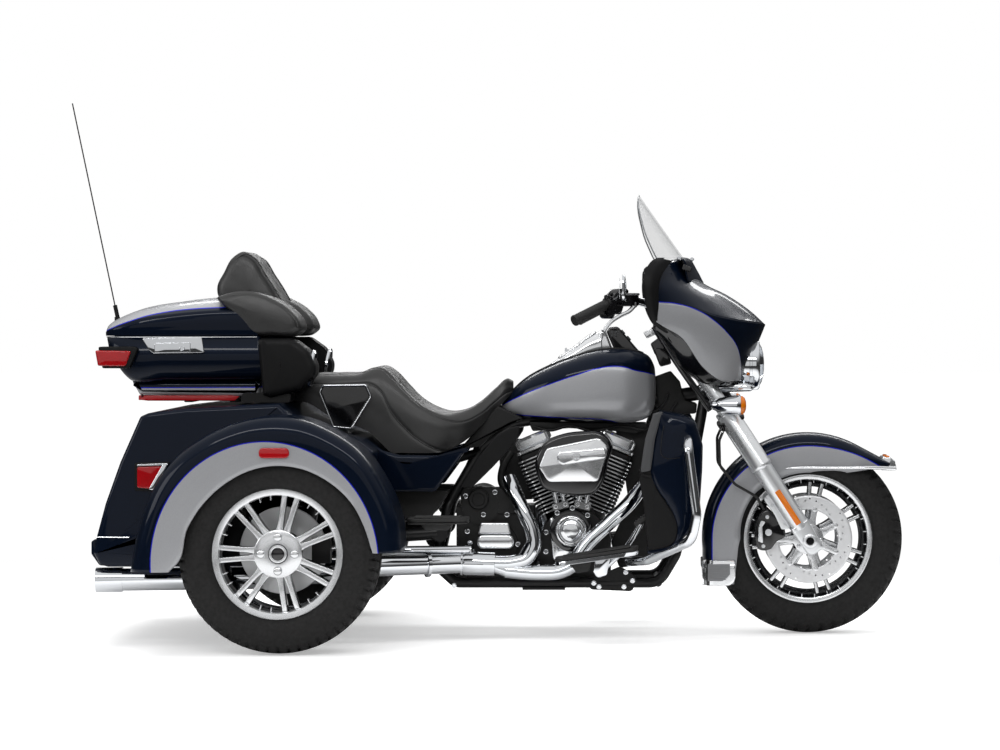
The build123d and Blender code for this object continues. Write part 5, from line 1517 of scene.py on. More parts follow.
def legShell():
    # the front edge's line carried outwards, turned through a quarter circle, then run back to the
    # rear edge with a shallow dome
    front = resampled(filleted(legSizes["front"], 7, closed=False), 90, closed=False)
    rear = resampled(throughPoints(legSizes["rear"], 120), 90, closed=False)
    edge, yOut = legSizes["round"], legSizes["yOut"]
    toRear = rear - front
    length = np.linalg.norm(toRear, axis=1)[:, None]
    unit = toRear / np.maximum(length, 1)
    reach = np.minimum(edge, length * 0.45)
    rows = [(front, np.full(90, float(legSizes["yIn"])))]
    rows.append((front, np.full(90, yOut - edge - 14.0)))
    for t in np.linspace(0, math.pi / 2, 8):
        rows.append((front + unit * reach * (1 - math.cos(t)), yOut - 6 - edge * (1 - math.sin(t)) * np.ones(90)))
    turnedIn = rows[-1][0]
    for share in (0.2, 0.45, 0.7, 0.9, 1.0):
        rows.append((turnedIn + (rear - turnedIn) * share, yOut - 6 + 6 * np.sin(math.pi * share * np.ones(90))))
    grid = np.stack([np.stack([line[:, 0], -y, line[:, 1]], 1) for line, y in rows])
    return gridShape(grid)


legBowl = plate(filleted([(596, 744, 6), (592, 684, 20), (576, 600, 20), (576, 548, 20), (600, 494, 10),
                          (652, 412, 10),
                          (660, 377, 16), (652, 332, 12), (611, 300, 8), (562, 296, 6), (548, 440, 30),
                          (532, 540, 30), (556, 650, 20), (580, 736, 6)], 5), -344, -362, 5, 3, count=160)
legVent = plate(filleted([(578, 742, 5), (612, 752, 6), (601, 726, 10), (584, 662, 20), (570, 560, 8),
                          (536, 552, 8), (552, 660, 30)], 5), -352, -371, 4, 2, count=120)
legLip = tube(throughPoints([(532, -364, 566), (544, -368, 548), (572, -369, 540)], 16), 4, 10)
legDoorLine = tube(throughPoints([(611, -371.5, 704), (603, -371.5, 640), (604, -371.5, 612), (614, -371.5, 602),
                                  (664, -371.5, 601)],
                                 50), 1.1, 6)
addPiece("leg_fairing_shells", pair(legShell()), "chassis", navyPaint, thickness=legSizes["wall"],
         replaces="lower_fairings", sharp=50)
addPiece("leg_fairing_bowls", pair(joined(legBowl, legLip)), "chassis", grainedPlastic,
         sharp=45)
addPiece("leg_fairing_vents", pair(legVent), "chassis", ventPlastic, sharp=45)
addPiece("leg_door_lines", pair(legDoorLine), "chassis", glossBlack)
print("leg fairings ready")
# front fender

fenderArch = {
    "crown": 351, "half": 82.5, "startAngle": -6, "endAngle": 118, "tail": 112, "tip": 122,
    # angle from straight back, depth of the side there
    "depths": [(-6, 117), (0, 125), (23, 120), (42, 118), (55, 124), (68, 131), (91, 130), (105, 116), (118, 98)],
    "lineRadius": 309, "lineReach": 377, "lineBack": 319,
}


def frontFenderShape():
    # along the crown: straight tail, arc about the axle, straight tip; at each station the section
    # drops down both sides by the depth there
    crown, start, end = fenderArch["crown"], fenderArch["startAngle"], fenderArch["endAngle"]
    angle = np.radians(np.linspace(start, end, 70))
    arcOut = np.stack([-np.cos(angle), np.sin(angle)], 1)
    arc = frontAxle[[0, 2]] + crown * arcOut
    depth = np.interp(np.degrees(angle), *np.array(fenderArch["depths"]).T)
    down = np.linspace(fenderArch["tail"], 0, 10, endpoint=False)[:, None]
    ahead = np.linspace(0, fenderArch["tip"], 15)[1:, None]
    tipWay = np.array([np.sin(angle[-1]), np.cos(angle[-1])])
    line = np.vstack([arc[0] - [0, 1] * down, arc, arc[-1] + tipWay * ahead])
    out = np.vstack([np.repeat([[-1.0, 0.0]], 10, 0), arcOut, np.repeat(arcOut[-1:], 14, 0)])
    depth = np.concatenate([np.linspace(102, 114, 10), depth, np.linspace(97, 14, 14)])
    half = fenderArch["half"] * np.ones(len(line))
    half[-14:] *= np.sqrt(1 - np.linspace(0.02, 0.55, 14) ** 2)
    # section: share of half width and of depth, from the right lower edge over the crown
    turn = np.linspace(0, math.pi / 2, 12)
    across = np.concatenate([[-1, -1, -1], -np.cos(turn) ** 0.62, [-0.12]])
    sunk = np.concatenate([[1.0, 0.8, 0.6], 0.46 * (1 - np.sin(turn) ** 0.62), [0]])
    across = np.concatenate([across, [0], -across[::-1]])
    sunk = np.concatenate([sunk, [0], sunk[::-1]])
    y = half[:, None] * across[None]
    drop = np.minimum(depth, 130)[:, None] * sunk[None]
    grid = np.stack([line[:, 0, None] - out[:, 0, None] * drop, y, line[:, 1, None] - out[:, 1, None] * drop], -1)
    return gridShape(grid)


def withinArch():
    # the field is inside the pinstripe's arc: a circle behind the axle, straight down below it,
    # and a longer ellipse ahead of it
    def field(tree, place):
        radius, reach = fenderArch["lineRadius"], fenderArch["lineReach"]
        shift = addNode(tree, "VectorMath", {1: tuple(frontAxle * metre)}, {0: place}, operation="SUBTRACT")
        parts = addNode(tree, "SeparateXYZ", links={0: shift.outputs[0]})
        back = addNode(tree, "Math", {1: 0.0}, {0: parts.outputs[0]}, operation="MINIMUM")
        ahead = addNode(tree, "Math", {1: 0.0}, {0: parts.outputs[0]}, operation="MAXIMUM")
        shorter = addNode(tree, "Math", {1: radius / reach}, {0: ahead.outputs[0]}, operation="MULTIPLY")
        backShare = radius / fenderArch["lineBack"]
        along = addNode(tree, "Math", {1: backShare}, {0: back.outputs[0], 2: shorter.outputs[0]},
                        operation="MULTIPLY_ADD")
        rise = addNode(tree, "Math", {1: 0.0}, {0: parts.outputs[2]}, operation="MAXIMUM")
        flat = addNode(tree, "CombineXYZ", links={0: along.outputs[0], 2: rise.outputs[0]})
        far = addNode(tree, "VectorMath", links={0: flat.outputs[0]}, operation="LENGTH")
        return addNode(tree, "Math", {0: radius * metre}, {1: far.outputs["Value"]},
                       operation="SUBTRACT").outputs[0]
    return field


fenderPaint = lacquer("front fender basecoat, two tones", paint["navy"], withinArch())
addPiece("front_fender_shell", frontFenderShape(), "steering", fenderPaint, thickness=3, replaces="front_fender",
         sharp=60)


def fenderSkirt():
    # the bright plate wrapped round the tail's foot: right side, round the back, left side; the lower
    # front corners follow a quarter circle
    levels = np.concatenate([np.linspace(163, 194, 9), [220, 247.0]])
    path = [(852, -84.5), (800, -85), (772, -84.5), (756, -76), (746, -58), (742, -30), (741.5, 0)]
    path = np.array(path + [(x, -y) for x, y in path[-2::-1]])
    fine = throughPoints(path, 80)
    grid = np.stack([np.column_stack([fine, np.full(80, z)]) for z in levels])
    reach = 822 + np.sqrt(np.maximum(0, 30**2 - np.clip(194 - grid[..., 2], 0, 30) ** 2))
    grid[..., 0] = np.minimum(grid[..., 0], reach)
    return gridShape(grid)


ribs = [rod((764, -88, z), (831 - max(0, 196 - z) * 0.7, -88, z), 1.3, 8) for z in range(183, 234, 6)]
ribField = plate(filleted([(761, 178, 2), (812, 178, 20), (835, 200, 8), (835, 235, 3), (761, 235, 2)], 6), -84,
                 -87.5, 1, count=80)
bandPath = throughPoints([(766, -86.4), (758, -80), (750, -68)], 12)
skirtBand = gridShape(np.stack([np.column_stack([bandPath, np.full(12, z)]) for z in (163, 205, 248.0)]))
rail = tube(throughPoints([(1018, -85, 551), (1050, -87, 553), (1200, -87, 553), (1320, -84, 553),
                           (1384, -60, 550)], 60),
            np.interp(np.linspace(0, 1, 60), [0, 0.08, 1], [1.5, 4.5, 6.5]), 12)
tipBracket = plate(filleted([(1338, 543, 3), (1388, 541, 5), (1384, 574, 6), (1370, 586, 6), (1342, 587, 5)], 5),
                   -30, -54, 4, count=80)
tipBar = plate(filleted([(1362, 543, 4), (1392, 541, 5), (1386, 572, 6)], 5), -32, 32, 3, count=60)
tipLens = plate(filleted([(1350, 583, 3), (1368, 583, 3), (1364, 591, 3), (1352, 592, 3)], 4), -32, -50, 2,
                count=60)
insertGrey = finish("grey ribbed rubber insert", "8e8f91", "86878a", 60, (0.45, 0.55), 20)
addPiece("fender_skirt", fenderSkirt(), "steering", chromeWithPaintedReflection, thickness=1.6, offset=1.0,
         sharp=50)
addPiece("fender_skirt_ribs", pair(joined(ribField, *ribs)), "steering", insertGrey)
addPiece("fender_skirt_bands", pair(skirtBand), "steering", glossBlack, thickness=1.2)
addPiece("fender_rails", joined(pair(joined(rail, tipBracket)), tipBar), "steering", chromeWithPaintedReflection)
addPiece("fender_tip_lens", pair(tipLens), "steering", amberLens)

# fork, calipers

forkSizes = {"half": 121, "slider": 32}


def alongFork(height, y, ahead=0.0):
    # a point on a fork leg's line at a height, moved square to the leg by ahead
    x = frontAxle[0] - (height - frontAxle[2]) * math.tan(forkAngle)
    return np.array([x + ahead * math.cos(forkAngle), y, height + ahead * math.sin(forkAngle)])


def forkReflector():
    # a flat amber strip on the outside of the slider
    low, high, y = 372, 482, -(forkSizes["half"] + forkSizes["slider"] - 1)
    corners = [alongFork(low, 0, -10), alongFork(low, 0, 9), alongFork(high, 0, 9), alongFork(high, 0, -10)]
    return plate(filleted([(p[0], p[2], 2) for p in corners], 4), y + 3, y - 2.5, 1, count=80)


def sliderEnd():
    # the slider's foot, thickened round the axle, with its pinch bolts
    foot = [alongFork(276, 0, -30), alongFork(280, 0, 28), alongFork(372, 0, 33), alongFork(372, 0, -33)]
    block_ = plate(filleted([(p[0], p[2], r) for p, r in zip(foot, (24, 18, 6, 6))], 8), -94, -150, 8, count=120)
    cap = lathe([(0, 24), (5, 24), (7, 22), (7, 14), (3, 13)], (1095, -149, 316), (0, -1, 0), 40)
    nuts = [lathe([(0, 6), (5, 6), (6, 4.5), (6, 0.5)], alongFork(284, -y), (0.54, 0, -0.84), 16)
            for y in (108, 136)]
    return joined(block_, cap, *nuts)


def forkLeg():
    # slider, wider cover with turned rings at its lower end, and the plated tube above it
    line = alongFork(735, -121) - alongFork(372, -121)
    reach = np.linalg.norm(line)
    step = reach * (560 - 372) / (735 - 372)
    profile = [(-20, 30), (-18, 32.4), (step - 6, 32.4), (step - 4, 35.4), (step + 2, 37), (step + 8, 37),
               (step + 12, 35.4),
               (reach - 4, 35.4), (reach, 33), (reach + 2, 24), (reach + 236, 24), (reach + 240, 20)]
    return lathe(profile, alongFork(372, -121), line, 56)


def forkClamps():
    # two thick plates square to the legs
    plates = []
    for height, deep in ((708, 28), (930, 24)):
        outline = filleted([(-44, -146, 22), (40, -146, 30), (46, 0, 20), (40, 146, 30), (-44, 146, 22),
                            (-48, 0, 20)], 8)
        rings = [(inset(outline, 3), -deep / 2), (outline, -deep / 2 + 3), (outline, deep / 2 - 3),
                 (inset(outline, 3), deep / 2)]
        grid = np.stack([np.column_stack([ring, np.full(len(ring), z)]) for ring, z in rings])
        tilted = turned(gridShape(grid, closeV=True, capU=True), (0, 1, 0), -math.degrees(forkAngle))
        plates.append(moved(tilted, alongFork(height, 0)))
    return joined(*plates)


axleHole = lathe([(0, 12.6), (1.5, 12.6), (1.6, 9.5), (-3, 9), (-3, 0.5)], (1095, -153.4, 316), (0, -1, 0), 32)
bracket = plate(filleted([(944, 452, 8), (966, 470, 9), (994, 440, 8), (1030, 384, 8), (1030, 352, 8),
                          (1004, 350, 8), (980, 400, 8)], 6), -92, -108, 3, count=120)
bracketBolts = [bolt(x, -107, z, 7, 6) for x, z in ((960, 456), (973, 429), (1016, 368))]
caliperOutline = throughPoints([(956, 416), (983, 396), (1007, 378), (1015, 351), (1016, 327), (990, 311),
                                (966, 284), (928, 286), (919, 307), (921, 366), (940, 408)], 140, closed=True)
caliperFace = plate(caliperOutline, -82, -105, 7, 2, count=140)
caliperBack = plate(caliperOutline, -63.5, -57, 2, count=120)
caliperBridge = block(921, 942, -92, -58, 300, 388, 4)
caliperInsert = plate(filleted([(926, 312, 4), (944, 304, 5), (940, 360, 5), (952, 376, 4), (936, 380, 4),
                                (928, 356, 5)], 5),
                      -103, -109, 2, count=90)
caliperBolts = [bolt(x, -106, z, r, 5) for x, z, r in ((961, 341, 9), (957, 392, 5), (944, 296, 5))]
brightAlloy = finish("satin cast alloy", "eceef0", "e4e6e8", 150, (0.26, 0.32), 120, metallic=0.8)
axleBar = rod((1095, -96, 316), (1095, 96, 316), 12.5)
addPiece("fork_legs", joined(pair(joined(forkLeg(), sliderEnd())), axleBar), "steering", brightAlloy,
         replaces="fork", sharp=50)
addPiece("fork_clamps", forkClamps(), "steering", glossBlack, sharp=45)
addPiece("axle_holes", pair(axleHole), "steering", glossBlack)
addPiece("fork_reflectors", pair(forkReflector()), "steering", amberLens)
addPiece("caliper_brackets", pair(joined(bracket, *bracketBolts)), "steering", brightAlloy)
addPiece("caliper_bodies", pair(joined(caliperFace, caliperBack, caliperBridge)), "steering", glossBlack,
         replaces="front_calipers", sharp=40)
addPiece("caliper_inserts", pair(joined(caliperInsert, *caliperBolts)), "steering", brightAlloy)

# black cover tube behind each leg and the clamp's side covers
legTube = tube(throughPoints([(584, -108, 1020), (662, -108, 898), (770, -108, 744)], 30), 11, 16)
clampCover = joined(plate(filleted([(572, 962, 8), (612, 992, 6), (636, 928, 6), (588, 924, 8)], 5), 0, -60, 5,
                          count=100),
                    plate(filleted([(580, 950, 8), (630, 950, 6), (642, 896, 8), (604, 886, 8)], 5), -48, -62, 4,
                          count=90))
clampKey = [plate(filleted([(548, 1000, 4), (584, 1016, 5), (590, 994, 4), (560, 980, 4)], 5), -22, -50, 3,
                  count=60),
            lathe([(0, 11), (12, 11), (14, 9), (14, 0.5)], (592, -50, 1002), (0, -1, 0), 24)]
addPiece("clamp_covers", pair(joined(legTube, clampCover)), "steering", glossBlack)
addPiece("clamp_keys", pair(joined(*clampKey)), "steering", chromeWithPaintedReflection)
print("front fender and fork ready")

# fairing

fairingSizes = {
    # y, then points from the screen's foot to the brow, and from the brow to the lower edge
    "upper": [
        (0, (672, 1244), (741, 1170), (831, 1123), (908, 1070), (956, 1026)),
        (60, (669, 1244), (736, 1169), (820, 1121), (891, 1072), (938, 1030)),
        (120, (660, 1242), (722, 1166), (792, 1116), (856, 1070), (902, 1036)),
        (190, (640, 1239), (694, 1164), (756, 1112), (808, 1070), (846, 1044)),
        (240, (616, 1234), (660, 1170), (712, 1120), (752, 1082), (780, 1058)),
        (290, (582, 1224), (612, 1178), (646, 1138), (672, 1108), (692, 1086)),
        (320, (560, 1206), (576, 1174), (594, 1142), (606, 1116), (616, 1094)),
        (332, (550, 1190), (557, 1165), (564, 1140), (570, 1118), (575, 1096)),
    ],
    "lower": [
        (0, (956, 1026), (944, 996), (926, 954), (900, 900), (884, 838)),
        (60, (938, 1030), (930, 994), (915, 950), (893, 896), (878, 838)),
        (120, (902, 1036), (898, 994), (888, 948), (872, 896), (856, 842)),
        (190, (846, 1044), (848, 1000), (840, 948), (824, 894), (802, 843)),
        (240, (780, 1058), (790, 1016), (784, 970), (766, 924), (742, 888)),
        (290, (692, 1086), (702, 1056), (702, 1028), (692, 1004), (672, 984)),
        (320, (616, 1094), (624, 1072), (627, 1053), (624, 1036), (614, 1020)),
        (332, (575, 1096), (580, 1078), (584, 1062), (587, 1048), (589, 1036)),
    ],
    "stripe": [(560, 1101), (600, 1100), (653, 1095), (722, 1074), (772, 1044), (821, 1000), (851, 961), (866, 916),
               (872, 850), (874, 800)],
    "rimBack": [(590, -286, 1243), (574, -306, 1234), (555, -326, 1207), (546, -337, 1172), (548, -339, 1120),
                (564, -335, 1060), (584, -323, 1026), (626, -296, 996), (672, -262, 974)],
    "rimFront": [(640, -262, 1236), (622, -290, 1214), (604, -318, 1186), (596, -330, 1160), (594, -332, 1110),
                 (600, -326, 1070), (610, -312, 1036), (644, -286, 1010), (684, -258, 988)],
}


def bothHalves(rows):
    return [(-y, *rest) for y, *rest in rows[:0:-1]] + list(rows)


def crossRows(rows):
    return [[(x, y, z) for x, z in points] for y, *points in bothHalves(rows)]


def fairingRim():
    # the black inner fairing's edge where it wraps round the painted shell
    back, front = np.array(fairingSizes["rimBack"], float), np.array(fairingSizes["rimFront"], float)
    inner = back + [26, 22, 0]
    bulge = (back * 0.55 + front * 0.45) + [0, -9, 0]
    return skin([inner, back + [6, 6, 0], back, bulge, front + [-6, -3, 0], front + [2, 6, 0]], 20, 60)


fairingPaint = lacquer("fairing basecoat, two tones", paint["navy"], underCurve(fairingSizes["stripe"]))
fairingShell = joined(skin(crossRows(fairingSizes["upper"]), 90, 33),
                      skin(crossRows(fairingSizes["lower"]), 90, 33))
addPiece("fairing_shell", fairingShell, "steering", fairingPaint, thickness=4, replaces="fairing",
         sharp=42)
addPiece("fairing_rims", pair(fairingRim()), "steering", grainedPlastic, thickness=2,
         sharp=60)

# the vent cap under the screen, with a bright button on each side
ventRows = [[(662, y, 1252 - abs(y) * 0.03), (702 - abs(y) * 0.1, y, 1246 - abs(y) * 0.05),
             (728 - abs(y) * 0.2, y, 1208 - abs(y) * 0.06), (750 - abs(y) * 0.28, y, 1166)]
            for y in np.linspace(-196, 196, 9)]
ventSlot = plate(filleted([(672, 1208, 4), (700, 1196, 4), (706, 1212, 4), (678, 1226, 4)], 5), -190, -199, 2,
                 count=70)
ventButtons = [lathe([(0, 7), (3, 7), (5, 5), (5.5, 0.5)], (x, -198, z), (0, -1, 0), 20) for x,
               z in ((664, 1243), (706, 1240))]
addPiece("vent_cap", skin(ventRows, 60, 24), "steering", navyPaint, thickness=5, sharp=60)
addPiece("vent_slots", pair(ventSlot), "steering", glossBlack)
addPiece("vent_buttons", pair(joined(*ventButtons)), "steering", chrome)

# windshield and the shell's inner edge

screenSizes = {
    "foot": (678.6, 1253.7), "lean": 35.3, "radius": 430, "thick": 4,
    # half of the outline laid flat: across, up
    "outline": [(0, 249), (70, 245), (131, 227), (166, 203.5), (196, 169), (223, 127), (236, 89.5), (247, 47),
                (250, 0)],
}


def screenSheet():
    # the flat outline's points joined to the foot line by straight rows, then rolled round an upright
    # cylinder and leant back
    half = np.array(screenSizes["outline"], float)
    edge = throughPoints(np.vstack([half[::-1] * [-1, 1], half[1:]]), 81)
    foot = np.column_stack([np.linspace(-250, 250, 81), np.full(81, -14.0)])
    share = np.linspace(0, 1, 25)[:, None, None]
    flat = foot[None] * (1 - share) + edge[None] * share
    radius, lean = screenSizes["radius"], math.radians(screenSizes["lean"])
    sag = radius - np.sqrt(radius**2 - flat[..., 0] ** 2)
    x = screenSizes["foot"][0] - flat[..., 1] * math.sin(lean) - sag * math.cos(lean)
    z = screenSizes["foot"][1] + flat[..., 1] * math.cos(lean) - sag * math.sin(lean)
    return gridShape(np.stack([x, flat[..., 0], z], -1))


def screenRim():
    # the sheet's polished edge, a thin bead along its outline
    rows = screenSheet()[0].reshape(25, 81, 3)
    return tube(rows[-1][::2], 2.1, 8)


screenEdge = finish("smoked polycarbonate edge", "7c7f82", "747779", 40, (0.3, 0.4), 20)
addPiece("windshield_edge", screenRim(), "steering", screenEdge)
addPiece("windshield_sheet", screenSheet(), "steering", screenTint, thickness=screenSizes["thick"],
         replaces="windshield", sharp=50)

# the black inner moulding that shows along the shell's lower rear edge
lipOuter = [(586, -330, 1038), (618, -316, 1018), (674, -286, 982), (744, -236, 886), (804, -186, 840),
            (858, -116, 838)]
lipInner = [(584, -300, 1004), (604, -280, 980), (636, -250, 936), (690, -206, 868), (756, -160, 830),
            (830, -104, 826)]
lipDeep = [(600, -240, 1000), (624, -220, 976), (660, -190, 936), (706, -160, 880), (770, -130, 850),
           (836, -90, 842)]
addPiece("fairing_inner_lips", pair(skin([lipOuter, lipInner, lipDeep], 40, 20)), "steering", glossBlack,
         thickness=3, sharp=60)

# instrument panel

dashSizes = {
    "rows": [(0, (648, 1232), (652, 1120), (690, 1002)), (120, (638, 1230), (648, 1118), (690, 1002)),
             (230, (600, 1222), (620, 1090), (664, 932)), (300, (549, 1208), (570, 1100), (612, 1000)),
             (326, (546, 1180), (552, 1120), (572, 1056))],
    # y, z, radius, x of the rim
    "dials": [(62, 1172, 40, 640), (150, 1170, 30, 628)],
    "speaker": (214, 1092, 52, 606),
}


def dial(y, z, radius, x):
    # bright bezel, dark face and raised marks of a plain instrument, facing the rider
    bezel = lathe([(-14, radius), (0, radius), (3, radius - 2), (3, radius - 5), (0, radius - 6), (0, radius - 7)],
                  (x, y, z), (-1, 0, 0), 56)
    face = lathe([(-2, radius - 5), (-2, radius * 0.5), (-2, 0.5)], (x, y, z), (-1, 0, 0), 48)
    mark = block(x + 0.6, x + 1.8, y - 0.7, y + 0.7, z + radius - 14, z + radius - 8, 0.2)
    marks = copies(mark, turns((1, 0, 0), np.arange(-135, 136, 22.5)), (x, y, z))
    needle = turned(block(x - 1.2, x - 0.2, y - 1, y + 1, z - 6, z + radius - 12, 0.3), (1, 0, 0), 118, (x, y, z))
    return bezel, face, joined(marks, needle, lathe([(-1, 5), (2.4, 4.6), (2.4, 0.5)], (x, y, z), (-1, 0, 0), 20))


def speakerFront(y, z, radius, x):
    ring = lathe([(-16, radius + 2), (0, radius + 2), (3, radius), (3, radius - 5), (-1, radius - 6)], (x, y, z),
                 (-1, 0, 0), 56)
    grille = lathe([(-1, radius - 4), (1.5, radius * 0.7), (3, radius * 0.35), (3.4, 0.5)], (x, y, z), (-1, 0, 0),
                   56)
    return ring, grille


bezels, faces, marks = zip(*[dial(side * y, z, r, x) for y, z, r, x in dashSizes["dials"] for side in (-1, 1)])
y, z, r, x = dashSizes["speaker"]
rings, grilles = zip(*[speakerFront(side * y, z, r, x) for side in (-1, 1)])
screenBody = turned(plate(filleted([(-92, 1034, 10), (92, 1034, 10), (92, 1118, 10), (-92, 1118, 10)], 6), 0, 24, 4,
                          count=120), (0, 0, 1), 90)
screenGlass = turned(plate(filleted([(-80, 1045, 4), (80, 1045, 4), (80, 1108, 4), (-80, 1108, 4)], 5), 0, 2, 0.6,
                           count=90), (0, 0, 1), 90)
dialWhite = finish("printed dial marks", "e8e8e4", "dcdcd8", 8, (0.4, 0.5), 6)
addPiece("dash_panel", skin(crossRows(dashSizes["rows"]), 60, 24), "steering", grainedPlastic, thickness=6,
         offset=1.0, replaces="dash", sharp=60)
addPiece("dash_bezels", joined(*bezels, *rings), "steering", chrome, sharp=45)
addPiece("dash_faces", joined(*faces), "steering", glossBlack)
addPiece("dash_marks", joined(*marks), "steering", dialWhite)
addPiece("dash_speakers", joined(*grilles), "steering", grainedPlastic)
addPiece("dash_screen_body", moved(screenBody, (668, 0, 0)), "steering", grainedPlastic)
addPiece("dash_screen", moved(screenGlass, (645, 0, 0)), "steering", glossBlack)
print("fairing ready")

# lamps

lampSizes = {"headZ": 893, "signalY": 183, "signalZ": 763}
headZ = lampSizes["headZ"]
bucket = lathe([(846, 40), (850, 62), (860, 78), (874, 84), (918, 85), (926, 85), (933, 82), (935, 78), (929, 75)],
               (0, 0, headZ), (1, 0, 0), 80)
seam = lathe([(900, 84.6), (901, 86.4), (908, 86.4), (909, 84.6)], (0, 0, headZ), (1, 0, 0), 80, ring=True)
reflector = lathe([(928, 75), (912, 68), (896, 52), (884, 30), (880, 0.5)], (0, 0, headZ), (1, 0, 0), 64)
headLens = lathe([(927, 76), (936, 70), (943, 58), (948, 40), (950.5, 20), (951, 0.5)], (0, 0, headZ), (1, 0, 0),
                 64)
chin = plate(filleted([(724, 812, 8), (744, 832, 10), (880, 836, 20), (922, 822, 12), (904, 806, 10),
                       (760, 802, 16)], 6),
             0, -104, 12, 3, count=150)
signal = lathe([(770, 9), (774, 14), (796, 24), (822, 30), (846, 32.5), (864, 33), (866, 31)],
               (0, -lampSizes["signalY"], lampSizes["signalZ"]), (1, 0, 0), 48)
signalLens = lathe([(864, 31.5), (872, 30), (879, 24), (883, 13), (884, 0.5)],
                   (0, -lampSizes["signalY"], lampSizes["signalZ"]), (1, 0, 0), 48)
signalArm = tube(throughPoints([(812, -183, 752), (800, -150, 748), (806, -120, 756), (826, -60, 772),
                                (834, 0, 776)], 30), 9, 14)
addPiece("headlamp_shell", joined(bucket, seam, pair(chin)), "steering", chrome, replaces="front_lamps",
         sharp=45)
addPiece("headlamp_reflector", reflector, "steering", polishedAlloy)
addPiece("headlamp_lens", headLens, "steering", clearLens, sharp=60)
addPiece("signal_shells", pair(joined(signal, signalArm)), "steering", chrome, sharp=50)
addPiece("signal_lenses", pair(signalLens), "steering", amberLens, sharp=60)

# bar's ends and mirrors

barSizes = {"inner": np.array([479.0, -294, 1118]), "end": np.array([330.0, -411, 1042]), "grip": 17.5}
barWay = (barSizes["end"] - barSizes["inner"]) / np.linalg.norm(barSizes["end"] - barSizes["inner"])


def onBar(distance, offset=(0, 0, 0)):
    return barSizes["inner"] + barWay * distance + np.asarray(offset, float)


def grip():
    # ribbed sleeve with a flange at the housing and a plain end cap
    length = 134
    along = np.linspace(0, length, 110)
    radius = barSizes["grip"] + 0.7 * np.sin(along / length * 2 * math.pi * 14) ** 2 - 0.4
    profile = [(-2, 22), (4, 22), (6, 18)] + [(6 + a, r) for a, r in zip(along, radius)]
    profile += [(length + 8, 18.5), (length + 12, 17.5), (length + 13, 13), (length + 13, 0.5)]
    return lathe(profile, onBar(64), barWay, 48)


def barBlock(along, length, depth, height, lift, edge):
    # a rounded box lying along the bar, its height upright
    shape = block(-length / 2, length / 2, -depth / 2, depth / 2, -height / 2, height / 2, edge)
    shape = turned(turned(shape, (0, 1, 0), 22), (0, 0, 1), 38)
    return moved(shape, onBar(along, (0, 0, lift)))


# clamshells round the bar with a seam between them, the wider half towards the grip, small switches
housing = [barBlock(34, 40, 50, 82, -4, 12), barBlock(60, 22, 54, 88, -8, 14), barBlock(10, 26, 36, 58, 2, 8)]
switches = [rod(onBar(a, (-14, -16, h)), onBar(a, (-24, -28, h + 3)), r, 16) for a, h,
            r in ((24, 16, 6), (42, 12, 7), (38, -14, 6))]
cylinderBlock = moved(turned(block(-30, 30, -17, 17, -20, 14, 5), (0, 0, 1), 38), (498, -318, 1108))
cylinderLid = moved(turned(block(-33, 33, -19, 19, 14, 21, 3), (0, 0, 1), 38), (498, -318, 1108))
lever = tube(throughPoints([(520, -312, 1092), (500, -330, 1070), (472, -352, 1056), (442, -388, 1036),
                            (418, -424, 1006)], 50),
             np.interp(np.linspace(0, 1, 50), [0, 0.2, 0.94, 1], [8, 6.5, 6, 8]), 14, squash=0.6)
leverKnob = lathe([(0, 10), (16, 10), (16, 0.5)], (516, -314, 1100), (0, 0, -1), 24)
addPiece("grips", pair(grip()), "steering", gripRubber, replaces="hand_controls", sharp=45)
addPiece("switch_housings", pair(joined(*housing, *switches, cylinderBlock)), "steering", glossBlack,
         sharp=45)
addPiece("hand_levers", pair(joined(lever, leverKnob, cylinderLid)), "steering", chromeWithPaintedReflection)

mirrorOutline = filleted([(-52, -42, 24), (50, -38, 28), (52, 34, 22), (-40, 43, 30)], 8)
mirrorShell = turned(plate(mirrorOutline, 0, -10, 5, 4, count=120), (0, 0, 1), 90)
mirrorGlass = turned(plate(inset(mirrorOutline, 5), 0, 1.4, 0.6, count=110), (0, 0, 1), 90)
mirrorAt = (472, -388, 1146)
mirrorArm = tube(throughPoints([(482, -376, 1126), (486, -352, 1112), (492, -330, 1104), (496, -318, 1098)], 24),
                 6.5, 14)
shells = [moved(flipped(mirrorShell) if side > 0 else mirrorShell, (mirrorAt[0] + 6, side * 388, mirrorAt[2]))
          for side in (-1, 1)]
glasses = [moved(flipped(mirrorGlass) if side > 0 else mirrorGlass, (mirrorAt[0] - 1, side * 388, mirrorAt[2]))
           for side in (-1, 1)]
addPiece("mirror_shells", joined(*shells), "steering", chrome, replaces="mirrors", sharp=45)
addPiece("mirror_arms", pair(mirrorArm), "steering", chrome)
addPiece("mirror_glasses", joined(*glasses), "steering", polishedAlloy)
print("bar and mirrors ready")
# studio

studio = {"lensLength": 97.63, "cameraPlace": (0.4906, -9.055, 1.0584), "shift": (-0.126, -0.060),
          "topLight": 150, "sideLight": 60, "cardLight": 38, "rearLight": 45, "floorGlow": 0.4}


def areaLight(name, place, aim, size, power):
    light = bpy.data.lights.new(name, "AREA")
    light.shape = "RECTANGLE"
    light.size, light.size_y = size
    light.energy = power
    lamp = bpy.data.objects.new(name, light)
    bpy.context.scene.collection.objects.link(lamp)
    lamp.location = place
    direction = Vector(aim) - Vector(place)
    lamp.rotation_euler = direction.to_track_quat("-Z", "Y").to_euler()
    lamp.visible_camera = False
    return lamp


